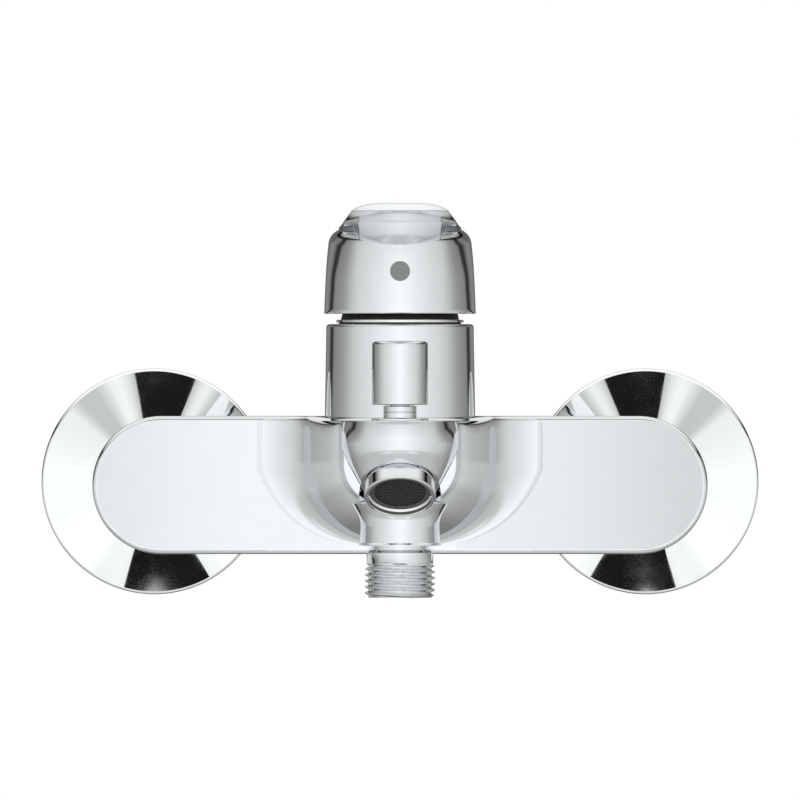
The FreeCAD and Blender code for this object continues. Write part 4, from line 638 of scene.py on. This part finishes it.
def paddle_section(reach, tip_share, inset=0.0):
    """A closed section across the paddle; towards the tip it bends, and inset thins it to its middle."""
    half_width = between(half_width_at, reach)
    edge_z = between(edge_z_at, reach)
    crown_z = between(crown_z_at, reach)
    crown_power = between(crown_power_at, reach)
    flat_half_width = between(flat_half_width_at, reach)
    belly_drop = between(belly_drop_at, reach)
    flat_z = FLAT_Z + FLAT_RISE * (reach - FLAT_Z_REACH)
    over, under = [], []
    for k in range(-HALF_PARTS, HALF_PARTS + 1):
        x = half_width * (0.6 * k / HALF_PARTS + 0.4 * math.sin(math.pi / 2 * k / HALF_PARTS))
        off_middle = abs(x)
        top = crown_z - (crown_z - edge_z) * (off_middle / half_width) ** crown_power
        bottom = flat_z
        if off_middle > flat_half_width:
            share = (off_middle - flat_half_width) / (half_width - flat_half_width)
            bottom += (edge_z - EDGE_THICKNESS - flat_z) * share**1.3
        # the belly is a shallow keel with steep sides
        belly = max(0.0, belly_drop - BELLY_BOW * x * x * belly_drop / BELLY_DEPTH)
        bottom -= belly * (1 - smooth_step((off_middle - BELLY_HALF_WIDTH) / BELLY_SIDE))
        if math.hypot(x, reach) < CUP_INSIDE_RADIUS:
            bottom = max(bottom, CUP_INSIDE_TOP_Z)
        thinner = min(inset, (top - bottom) / 2)
        out = DOME_OUT + reach - (TIP_REACH - between(tip_reach_at, off_middle)) * tip_share
        over.append(Vector((x, -out, top - thinner)))
        under.append(Vector((x, -out, bottom + thinner)))
    return over + under[::-1]


paddle_rows = [paddle_section(BACK_REACH, 0.0, TO_MIDDLE)]
for k in range(141):
    paddle_rows.append(paddle_section(BACK_REACH + (BEND_REACH - BACK_REACH) * k / 140, 0.0))
for k in range(1, 16):
    reach = BEND_REACH + (TIP_REACH - TIP_EDGE - BEND_REACH) * k / 15
    paddle_rows.append(paddle_section(reach, smooth_step(k / 15)))
# the end face has softly broken edges
for k in range(1, 6):
    angle = math.pi / 2 * k / 5
    reach = TIP_REACH - TIP_EDGE + TIP_EDGE * math.sin(angle)
    paddle_rows.append(paddle_section(reach, 1.0, TIP_EDGE * (1 - math.cos(angle))))
paddle_rows += [paddle_section(TIP_REACH, 1.0, inset) for inset in (TIP_EDGE + 0.05, TO_MIDDLE)]

RIM_Z = 50.7
RIM_BACK_RISE = 7.4
RIM_EDGE = 0.4
CUP_SPOKES = 256
CROWN_Z = 80.3
ROOF_BOW = 0.0124
WALL_TOP_Z = 72.0


def cup_radius(z):
    """The cup bulges a little: nearly upright at its rim and leaning in towards its shoulder."""
    return between([(50.7, 22.82), (58.0, 22.52), (65.0, 22.15), (72.0, 21.5), (78.0, 20.7)], z)


# the cup's inside, lip, wall, soft shoulder and roof; its rim rises at the back so that it can tip up
cup_inside = [(0.0, 71.5), (17.6, 71.5), (17.8, 71.2), (19.3, 69.0), (20.4, 59.0)]
cup_lip = [(2.2, -0.4), (0.4, -0.4), (0.25, -0.37), (0.12, -0.28), (0.03, -0.15)]
cup_shoulder = [(21.5, WALL_TOP_Z), (21.19, 74.6), (19.2, 75.8), (17.0, 76.72)]
roof_radii = [15.0, 12.5, 10.0, 8.0, 6.0, 4.0, 2.5, 1.2, 0.5, 0.2, 0.0]
cup_spokes = []
for k in range(CUP_SPOKES):
    angle = 2 * math.pi * k / CUP_SPOKES
    toward = Vector((math.sin(angle), math.cos(angle), 0))
    foot = RIM_Z + RIM_BACK_RISE * max(0.0, toward.y) + RIM_EDGE
    wall = [foot + (WALL_TOP_Z - foot) * part / 23 for part in range(24)]
    outline = cup_inside + [(cup_radius(foot) - inward, foot + lift) for inward, lift in cup_lip]
    outline += [(cup_radius(z), z) for z in wall]
    outline += [drawn_curve(cup_shoulder, part / 16) for part in range(1, 17)]
    outline += [(radius, CROWN_Z - ROOF_BOW * radius * radius) for radius in roof_radii]
    cup_spokes.append([Vector((0, -DOME_OUT, z)) + toward * radius for radius, z in outline])
cup_rows = [list(row) for row in zip(*cup_spokes)]
cast_piece(
    "lever_casting",
    [skin(paddle_rows), skin(cup_rows)],
    polished_chrome,
    "handle",
    ["lever"],
    sharp=40,
)
dress(drawn_steel, "lever_screw")

# The plug is a flat grey moulding pressed into the screw's hole, marked with no colour or sign.
PLUG_Z = 63.4
satin_grey = finish(
    "satin_grey", (0.285, 0.30, 0.28), metal=0.0, gloss_loss=0.5, grain=0.35, tint=0.05, relief=0.003
)
plug_lean = math.atan(cup_radius(PLUG_Z - 1) - cup_radius(PLUG_Z + 1)) / 2
PLUG_FACING = (
    Vector((1, 0, 0)),
    Vector((0, math.sin(plug_lean), math.cos(plug_lean))),
    Vector((0, -math.cos(plug_lean), math.sin(plug_lean))),
)
plug_rows = turned_rows(
    [(0.0, -2.2), (2.9, -2.2), (3.0, -1.0), (3.0, 0.14, 0.15), (0.0, 0.18)],
    (0, -DOME_OUT - cup_radius(PLUG_Z), PLUG_Z),
    PLUG_FACING,
    parts=96,
)
cast_piece("grey_plug", [skin(plug_rows)], satin_grey, "handle", ["indicator_plug"])


# DIVERTER: a chromed brass knob is pulled up to lift a double-faced valve from the shower seat to the
# spout seat. Its neck and thin flange are one turned bush, screwed into the spout's top. A steel spring
# pushes it down again.
STEM_BORE = 3.05
KNOB_RADIUS = 8.4
KNOB_TOP_Z = 42.35
COIL_STEPS = 32
WIRE_SIDES = 10
bush_rows = turned_rows(
    [
        (STEM_BORE, 14.6),
        (6.3, 14.6),
        (6.3, 18.75),
        (8.5, 18.75),
        (8.5, 19.35, 0.2),
        (5.0, 19.35, 0.3),
        (5.0, 21.1, 0.06),
        (4.86, 21.25, 0.06),
        (5.0, 21.4, 0.06),
        (5.0, 23.1, 0.3),
        (STEM_BORE, 23.1),
    ],
    (0, -OUTLET_OUT, 0),
    UPRIGHT,
    parts=128,
)
cast_piece("knob_neck", [skin(bush_rows)], polished_chrome, "tap_body", ["diverter_bush"])
knob_corners = [(STEM_BORE, 23.4), (KNOB_RADIUS, 23.4, 0.3), (KNOB_RADIUS, KNOB_TOP_Z, 1.0)]
# its top is bowed by 0.45 mm
knob_corners += [(7.0 * (1 - k / 6), KNOB_TOP_Z + 0.45 * (1 - (1 - k / 6) ** 2)) for k in range(7)]
knob_corners += [(0.0, 34.4), (STEM_BORE, 34.4)]
knob_rows = turned_rows(knob_corners, (0, -OUTLET_OUT, 0), UPRIGHT, parts=160)
cast_piece("pull_knob", [skin(knob_rows)], polished_chrome, "diverter", ["diverter_knob"])
dress(drawn_steel, "diverter_stem")
dress(turned_brass, "diverter_disc", "diverter_seat")
dress(washer_rubber, "diverter_seal_lower", "diverter_seal_upper", "stem_o_ring")


def coil(radius, wire, low, high, turns):
    """Rows of a spring's wire about the outlet's axis, between two heights."""
    rows = []
    steps = int(turns * COIL_STEPS)
    for step in range(steps + 1):
        angle = 2 * math.pi * turns * step / steps
        spoke = Vector((math.cos(angle), -math.sin(angle), 0))
        z = low + wire + (high - low - 2 * wire) * step / steps
        centre = Vector((0, -OUTLET_OUT, z)) + spoke * radius
        ring = []
        for k in range(WIRE_SIDES):
            around = 2 * math.pi * k / WIRE_SIDES
            ring.append(centre + (spoke * math.cos(around) + Vector((0, 0, math.sin(around)))) * wire)
        rows.append(ring)
    return rows


# the spring stands on the valve's disc
cast_piece(
    "knob_spring",
    [skin(coil(radius=3.75, wire=0.35, low=-1.58, high=14.53, turns=8.0))],
    drawn_steel,
    "tap_body",
    ["diverter_spring"],
    sharp=70,
    pressed=("diverter", (0, -OUTLET_OUT, 14.2), (0, -OUTLET_OUT, -1.4)),
)


# SHOWER OUTLET: a brass nipple with a half-inch pipe thread, chrome plated, screwed up into the collar
# over an o-ring. A small plastic check valve in it keeps used water from running back.
THREAD_TOP_Z = -23.7
THREAD_END_Z = -34.0
THREAD_PITCH = 1.814
THREAD_RADIUS = 10.45
THREAD_DEPTH = 1.16
THREAD_CHAMFER = 1.0
RUN_IN = 1.0
NECK_RADIUS = 9.9
NIPPLE_BORE = 6.2
NIPPLE_TOP_Z = -8.7
NIPPLE_PARTS = 192
THREAD_STEPS = 110
nipple_top = turned_rows(
    [
        (NIPPLE_BORE, NIPPLE_TOP_Z),
        (9.0, NIPPLE_TOP_Z),
        (9.0, -18.5),
        (8.8, -18.5),
        (8.8, -19.8),
        (NECK_RADIUS, -20.6, 0.2),
        (NECK_RADIUS, THREAD_TOP_Z),
    ],
    (0, -OUTLET_OUT, 0),
    UPRIGHT,
    parts=NIPPLE_PARTS,
    closed=False,
)
thread_rows = []
for step in range(THREAD_STEPS + 1):
    z = THREAD_TOP_Z + (THREAD_END_Z - THREAD_TOP_Z) * step / THREAD_STEPS
    run_in = min(1.0, (THREAD_TOP_Z - z) / RUN_IN)
    row = []
    for k in range(NIPPLE_PARTS):
        angle = 2 * math.pi * k / NIPPLE_PARTS
        # the flank is half way between a straight one and a soft one
        off_root = abs(2 * ((z / THREAD_PITCH - k / NIPPLE_PARTS) % 1.0) - 1)
        soft_flank = smooth_step((off_root - 0.1) / 0.8)
        straight_flank = min(1, max(0, off_root * 1.25 - 0.125))
        radius = THREAD_RADIUS - THREAD_DEPTH * (soft_flank + straight_flank) / 2
        radius = NECK_RADIUS + (radius - NECK_RADIUS) * run_in
        radius = min(radius, THREAD_RADIUS - THREAD_CHAMFER + (z - THREAD_END_Z))
        row.append(Vector((radius * math.cos(angle), -OUTLET_OUT - radius * math.sin(angle), z)))
    thread_rows.append(row)
nipple_end = turned_rows(
    [(5.2, THREAD_END_Z), (5.2, -31.3), (NIPPLE_BORE, -31.3), (NIPPLE_BORE, NIPPLE_TOP_Z)],
    (0, -OUTLET_OUT, 0),
    UPRIGHT,
    parts=NIPPLE_PARTS,
    closed=False,
)
cast_piece(
    "threaded_outlet",
    [skin(nipple_top + thread_rows + nipple_end)],
    polished_chrome,
    "tap_body",
    ["shower_nipple"],
    sharp=40,
)
dress(washer_rubber, "nipple_o_ring")
dress(moulded_plastic, "check_valve_body", "check_valve_poppet")
# its spring stands on the valve's body
cast_piece(
    "valve_spring",
    [skin(coil(radius=1.9, wire=0.25, low=-17.58, high=-11.57, turns=3.5))],
    drawn_steel,
    "tap_body",
    ["check_valve_spring"],
    sharp=70,
    pressed=("check_valve", (0, -OUTLET_OUT, -17.4), (0, -OUTLET_OUT, -11.7)),
)


# AERATOR: a turned and chromed sleeve screws onto the spout's tilted seat. It holds a dark moulded
# insert, closed by a fine woven screen that mixes air into the water.
DOWN_SPOUT = Vector((0, -math.sin(AERATOR_TILT), -math.cos(AERATOR_TILT)))
ALONG_SPOUT = (Vector((1, 0, 0)), UP_FRONT, DOWN_SPOUT)
SLEEVE_BORE = 9.05
INSERT_RADIUS = 8.95
MESH_RADIUS = 7.5
MESH_PITCH = 0.8
MESH_DOWN = 2.75
WEAVE = 0.12
WIRE = 0.14
sleeve_rows = turned_rows(
    [
        (SLEEVE_BORE, -2.8),
        (9.9, -2.8),
        (9.9, 0.45),
        (10.6, 0.45, 0.12),
        (10.6, 4.9, 0.5),
        (9.5, 4.9, 0.15),
        (9.5, 3.8),
        (SLEEVE_BORE, 3.2),
    ],
    AERATOR_AT,
    ALONG_SPOUT,
)
cast_piece("aerator_sleeve", [skin(sleeve_rows)], polished_chrome, "tap_body", ["aerator_housing"])
dark_insert = finish(
    "dark_insert", (0.06, 0.058, 0.054), metal=0.0, gloss_loss=0.45, grain=0.6, tint=0.1, relief=0.004
)
insert_rows = turned_rows(
    [
        (0.0, -2.8),
        (INSERT_RADIUS, -2.8),
        (INSERT_RADIUS, 3.2, 0.15),
        (7.65, 3.2, 0.15),
        (7.6, 2.3),
        (0.0, 2.3),
    ],
    AERATOR_AT,
    ALONG_SPOUT,
)
cast_piece("aerator_core", [skin(insert_rows)], dark_insert, "tap_body", ["aerator_insert"])
dark_mesh = finish("dark_mesh", (0.034, 0.032, 0.029), metal=0.0, gloss_loss=0.5, grain=0.6, tint=0.1)
mesh_skins = []
for across_way, along_way, phase in (
    (Vector((1, 0, 0)), UP_FRONT, 0),
    (UP_FRONT, Vector((1, 0, 0)), 1),
):
    for line in range(-9, 10):
        offset = line * MESH_PITCH
        half_length = math.sqrt(max(0.0, MESH_RADIUS**2 - offset**2))
        rows = []
        count = 2 * max(2, int(half_length / (MESH_PITCH / 2)))
        for step in range(count + 1):
            along = -half_length + 2 * half_length * step / count
            # each wire goes over and under the ones that it crosses
            down = MESH_DOWN + WEAVE * math.cos(math.pi * (along / MESH_PITCH + line + phase))
            centre = AERATOR_AT + across_way * offset + along_way * along + DOWN_SPOUT * down
            ring = []
            for k in range(6):
                angle = 2 * math.pi * k / 6
                ring.append(centre + (across_way * math.cos(angle) + DOWN_SPOUT * math.sin(angle)) * WIRE)
            rows.append(ring)
        mesh_skins.append(skin(rows))
cast_piece("aerator_mesh", mesh_skins, dark_mesh, "tap_body", ["aerator_screen"], sharp=70)
dress(washer_rubber, "aerator_seal")


# STUDIO: a white room as the chrome sees it, a pale floor well below, and cards that only reflections
# see. The room and the cards give the polished faces the dark bands of a product photograph.
def reckon(tree, operation, *values):
    """The result of a maths node on values or on other nodes' outputs."""
    return add_node(tree, "Math", dict(enumerate(values)), operation=operation).outputs[0]


def held(tree, value, least, most):
    """The value, held from least to most."""
    return reckon(tree, "MINIMUM", reckon(tree, "MAXIMUM", value, least), most)


def grey_ramp(tree, share, stops):
    """A ramp of cool greys over a share from 0 to 1, from (place, brightness, cover) stops."""
    ramp = add_node(tree, "ValToRGB", {"Fac": share})
    for k, (place, value, cover) in enumerate(stops):
        if k < 2:
            stop = ramp.color_ramp.elements[k]
            stop.position = place
        else:
            stop = ramp.color_ramp.elements.new(place)
        stop.color = (value * 0.985, value, value * 1.01, cover)
    return ramp


world = bpy.data.worlds.new("studio_room")
bpy.context.scene.world = world
world.use_nodes = True
room = world.node_tree
room.nodes.clear()

# where a ray goes: degrees round from the viewer, the same to both sides, and degrees up
ray_way = add_node(room, "TexCoord")
way_parts = add_node(room, "SeparateXYZ", {"Vector": ray_way.outputs["Generated"]})
sideways = reckon(room, "ABSOLUTE", way_parts.outputs["X"])
towards_viewer = reckon(room, "MULTIPLY", way_parts.outputs["Y"], -1.0)
turn = reckon(room, "MULTIPLY", reckon(room, "ARCTAN2", sideways, towards_viewer), 180 / math.pi)
height = reckon(room, "MULTIPLY", reckon(room, "ARCSINE", way_parts.outputs["Z"]), 180 / math.pi)

# behind the tap the bands of the walls lean, by three degrees for each degree up
lean = reckon(room, "MULTIPLY", held(room, height, -4.0, 10.0), 3.0)
behind = held(room, reckon(room, "DIVIDE", reckon(room, "SUBTRACT", turn, 70.0), 30.0), 0.0, 1.0)
slanted = reckon(room, "ADD", turn, reckon(room, "MULTIPLY", lean, behind))
around = reckon(room, "DIVIDE", slanted, 180.0)
# degrees from the viewer round to the wall, and the brightness there
walls = [
    (0, 1.23), (12, 1.18), (24, 1.09), (37, 1.0), (50, 0.915), (64, 0.835), (79, 0.70), (87, 0.61),
    (96, 0.49), (105, 0.405), (115, 0.335), (122, 0.305), (128.5, 0.27), (133.5, 0.045), (140, 0.045),
    (145, 0.19), (152, 0.28), (160, 0.25), (168, 0.16), (180, 0.16),
]
band = grey_ramp(room, around, [(degrees / 180, value, 1) for degrees, value in walls])

# the walls dim with height and end under the ceiling in a dark line, darkest at the sides
LINE_HEIGHT = 26.0
LINE_HALF_HEIGHT = 5.0
LINE_MOST = 0.92
dim = add_node(
    room, "MapRange", {"Value": height, "From Min": 4.0, "From Max": 30.0, "To Min": 1.0, "To Max": 0.74}
)
off_line = reckon(room, "ABSOLUTE", reckon(room, "SUBTRACT", height, LINE_HEIGHT))
on_line = reckon(room, "SUBTRACT", 1.0, reckon(room, "DIVIDE", off_line, LINE_HALF_HEIGHT))
line = reckon(room, "MULTIPLY", reckon(room, "MAXIMUM", on_line, 0.0), 1.6)
sides = held(room, reckon(room, "DIVIDE", turn, 90.0), 0.35, 1.0)
lost = reckon(room, "MULTIPLY", reckon(room, "MINIMUM", line, LINE_MOST), sides)
dim_share = reckon(room, "MULTIPLY", dim.outputs["Result"], reckon(room, "SUBTRACT", 1.0, lost))
dimmed = add_node(
    room, "VectorMath", {0: band.outputs["Color"], "Scale": dim_share}, operation="SCALE"
)

# the ceiling is white and the ground pale grey; both begin where the walls end
overhead = add_node(
    room, "MapRange", {"Value": reckon(room, "ABSOLUTE", height), "From Min": 28.0, "From Max": 45.0}
)
above = add_node(
    room,
    "Mix",
    {
        "Factor": reckon(room, "GREATER_THAN", height, 0.0),
        "A": (0.76, 0.77, 0.78, 1),
        "B": (1.0, 1.01, 1.02, 1),
    },
    data_type="RGBA",
)
mixed = add_node(
    room,
    "Mix",
    {
        "Factor": overhead.outputs["Result"],
        "A": dimmed.outputs["Vector"],
        "B": above.outputs["Result"],
    },
    data_type="RGBA",
)
seen = add_node(room, "Background", {"Color": mixed.outputs["Result"]})
white = add_node(room, "Background", {"Color": (1, 1, 1, 1), "Strength": 1.0})
rays = add_node(room, "LightPath")
choice = add_node(
    room,
    "MixShader",
    {"Fac": rays.outputs["Is Camera Ray"], 1: seen.outputs["Background"], 2: white.outputs["Background"]},
)
add_node(room, "OutputWorld", {"Surface": choice.outputs["Shader"]})

# The cards give their tones as they should show in the chrome, which gives back this share of them.
CHROME_SHARE = 0.78


def linear(tone):
    """The brightness that a picture shows as this tone from 0 to 255."""
    share = tone / 255
    return share / 12.92 if share <= 0.04045 else ((share + 0.055) / 1.055) ** 2.4


def card(name, half_width, one_edge, other_edge, stops, beyond=-1.0):
    """A sheet between two level edges (y, z), in metres, that only reflections see.

    Its stops are (x, tone, cover). Only chrome further than beyond from the tap's middle sees it.
    """
    corners = [(-half_width, *one_edge), (half_width, *one_edge), (half_width, *other_edge)]
    corners.append((-half_width, *other_edge))
    mesh = bpy.data.meshes.new(name)
    mesh.from_pydata(corners, [], [(0, 1, 2, 3)])
    sheet = bpy.data.objects.new(name, mesh)
    bpy.context.scene.collection.objects.link(sheet)
    material = bpy.data.materials.new(name)
    material.use_nodes = True
    tree = material.node_tree
    tree.nodes.clear()
    where = add_node(tree, "TexCoord")
    split = add_node(tree, "SeparateXYZ", {"Vector": where.outputs["Object"]})
    share = add_node(
        tree, "MapRange", {"Value": split.outputs["X"], "From Min": -half_width, "From Max": half_width}
    )
    places = []
    for x, tone, cover in stops:
        places.append(((x + half_width) / (2 * half_width), linear(tone) / CHROME_SHARE, cover))
    tones = grey_ramp(tree, share.outputs["Result"], places)
    glow = add_node(tree, "Emission", {"Color": tones.outputs["Color"]})
    clear = add_node(tree, "BsdfTransparent")
    # a reflected ray starts on the chrome: its length back along it from here
    ray = add_node(tree, "LightPath")
    here = add_node(tree, "NewGeometry")
    back_along = {0: here.outputs["Incoming"], 1: ray.outputs["Ray Length"], 2: here.outputs["Position"]}
    start = add_node(tree, "VectorMath", back_along, operation="MULTIPLY_ADD")
    start_parts = add_node(tree, "SeparateXYZ", {"Vector": start.outputs["Vector"]})
    off_middle = reckon(tree, "ABSOLUTE", start_parts.outputs["X"])
    cover_here = reckon(
        tree, "MULTIPLY", tones.outputs["Alpha"], reckon(tree, "GREATER_THAN", off_middle, beyond)
    )
    blend = add_node(
        tree, "MixShader", {"Fac": cover_here, 1: clear.outputs["BSDF"], 2: glow.outputs["Emission"]}
    )
    add_node(tree, "OutputMaterial", {"Surface": blend.outputs["Shader"]})
    mesh.materials.append(material)
    sheet.visible_camera = False
    sheet.visible_diffuse = False
    sheet.visible_transmission = False
    sheet.visible_shadow = False


card(
    "upper_card",
    0.6,
    (-1.75, 0.97),
    (-0.95, 0.97),
    [
        (-0.6, 230, 0.0), (-0.45, 222, 0.8), (-0.36, 205, 1.0), (-0.287, 172, 1.0), (-0.2, 190, 1.0),
        (0.2, 190, 1.0), (0.287, 172, 1.0), (0.36, 205, 1.0), (0.45, 222, 0.8), (0.6, 230, 0.0),
    ],
)
card(
    "lower_card",
    0.6,
    (-1.25, -0.69),
    (-0.6, -0.69),
    [
        (-0.6, 230, 0.0), (-0.36, 225, 1.0), (-0.2, 212, 1.0),
        (0.2, 212, 1.0), (0.36, 225, 1.0), (0.6, 230, 0.0),
    ],
)
# two narrow black strips, which only the cones of the flanges see whole
FLANGES_BEGIN = 0.04
card(
    "upper_strip",
    0.285,
    (-1.56, 0.965),
    (-1.33, 0.965),
    [(-0.285, 20, 1.0), (0.285, 20, 1.0)],
    beyond=FLANGES_BEGIN,
)
card(
    "lower_strip",
    0.292,
    (-1.10, -0.685),
    (-0.93, -0.685),
    [(-0.292, 20, 1.0), (0.292, 20, 1.0)],
    beyond=FLANGES_BEGIN,
)
# this one stands where the camera is; the middle of the tap looks past it into the white room
card(
    "front_card",
    0.8,
    (-3.98, -0.5),
    (-3.98, 0.5),
    [
        (-0.8, 242, 1.0), (-0.26, 232, 1.0), (-0.17, 231, 1.0), (-0.13, 241, 1.0), (-0.09, 246, 1.0),
        (0.0, 244, 1.0), (0.1, 234, 1.0), (0.17, 216, 1.0), (0.26, 214, 1.0), (0.8, 240, 1.0),
    ],
    beyond=0.017,
)

# The floor is a round pale sheet whose edge fades into the white. Metal sees it as the white ground.
FLOOR_Z = -0.74
FLOOR_RADIUS = 1.6
floor_mesh = bpy.data.meshes.new("studio_floor")
floor_build = bmesh.new()
bmesh.ops.create_circle(floor_build, cap_ends=True, radius=FLOOR_RADIUS, segments=96)
floor_build.to_mesh(floor_mesh)
floor_build.free()
studio_floor = bpy.data.objects.new("studio_floor", floor_mesh)
studio_floor.location = (0, 0, FLOOR_Z)
bpy.context.scene.collection.objects.link(studio_floor)
pale = bpy.data.materials.new("pale_floor")
pale.use_nodes = True
floor_tree = pale.node_tree
pale_shader = floor_tree.nodes["Principled BSDF"]
pale_shader.inputs["Base Color"].default_value = (0.86, 0.86, 0.86, 1)
pale_shader.inputs["Roughness"].default_value = 0.9

# the ground that metal sees darkens from the viewer's side round to the back
floor_spot = add_node(floor_tree, "TexCoord").outputs["Object"]
spot_parts = add_node(floor_tree, "SeparateXYZ", {"Vector": floor_spot})
spot_side = reckon(floor_tree, "ABSOLUTE", spot_parts.outputs["X"])
spot_turn = reckon(floor_tree, "ARCTAN2", spot_parts.outputs["Y"], spot_side)
front_to_back = add_node(
    floor_tree, "MapRange", {"Value": spot_turn, "From Min": -math.pi / 2, "From Max": math.pi / 2}
)
ground_tones = grey_ramp(
    floor_tree,
    front_to_back.outputs["Result"],
    [(0.0, 0.75, 1), (0.4, 0.62, 1), (0.6, 0.42, 1), (0.75, 0.26, 1), (1.0, 0.2, 1)],
)
ground = add_node(floor_tree, "Emission", {"Color": ground_tones.outputs["Color"], "Strength": 1.0})
floor_rays = add_node(floor_tree, "LightPath")
mirrored = reckon(
    floor_tree, "MAXIMUM", floor_rays.outputs["Is Glossy Ray"], floor_rays.outputs["Is Transmission Ray"]
)
ground_mix = add_node(
    floor_tree, "MixShader", {"Fac": mirrored, 1: pale_shader.outputs["BSDF"], 2: ground.outputs["Emission"]}
)
far_out = add_node(floor_tree, "VectorMath", {0: floor_spot}, operation="LENGTH")
fading = add_node(
    floor_tree,
    "MapRange",
    {"Value": far_out.outputs["Value"], "From Min": 0.6 * FLOOR_RADIUS, "From Max": FLOOR_RADIUS},
)
fading.interpolation_type = "SMOOTHSTEP"
nothing = add_node(floor_tree, "BsdfTransparent")
floor_mix = add_node(
    floor_tree,
    "MixShader",
    {"Fac": fading.outputs["Result"], 1: ground_mix.outputs["Shader"], 2: nothing.outputs["BSDF"]},
)
floor_tree.links.new(floor_mix.outputs["Shader"], floor_tree.nodes["Material Output"].inputs["Surface"])
floor_mesh.materials.append(pale)


# CAMERA: level, straight in front of the tap, with a very long lens from four metres away. The lens
# gives the photograph's scale, measured over the 150 mm between the two inlets.
CAMERA_DISTANCE = 4.0
CAMERA_Z = 0.02486
SENSOR_WIDTH = 36.0
PICTURE_WIDTH = 800
PIXELS_PER_MM = 3.273
lens = bpy.data.cameras.new("photo_camera")
lens.sensor_width = SENSOR_WIDTH
lens.lens = SENSOR_WIDTH * PIXELS_PER_MM * 1000 * CAMERA_DISTANCE / PICTURE_WIDTH
photo_camera = bpy.data.objects.new("photo_camera", lens)
photo_camera.location = (0, -CAMERA_DISTANCE, CAMERA_Z)
photo_camera.rotation_euler = (math.pi / 2, 0, 0)
bpy.context.scene.collection.objects.link(photo_camera)
bpy.context.scene.camera = photo_camera
bpy.context.scene.view_settings.view_transform = "Standard"
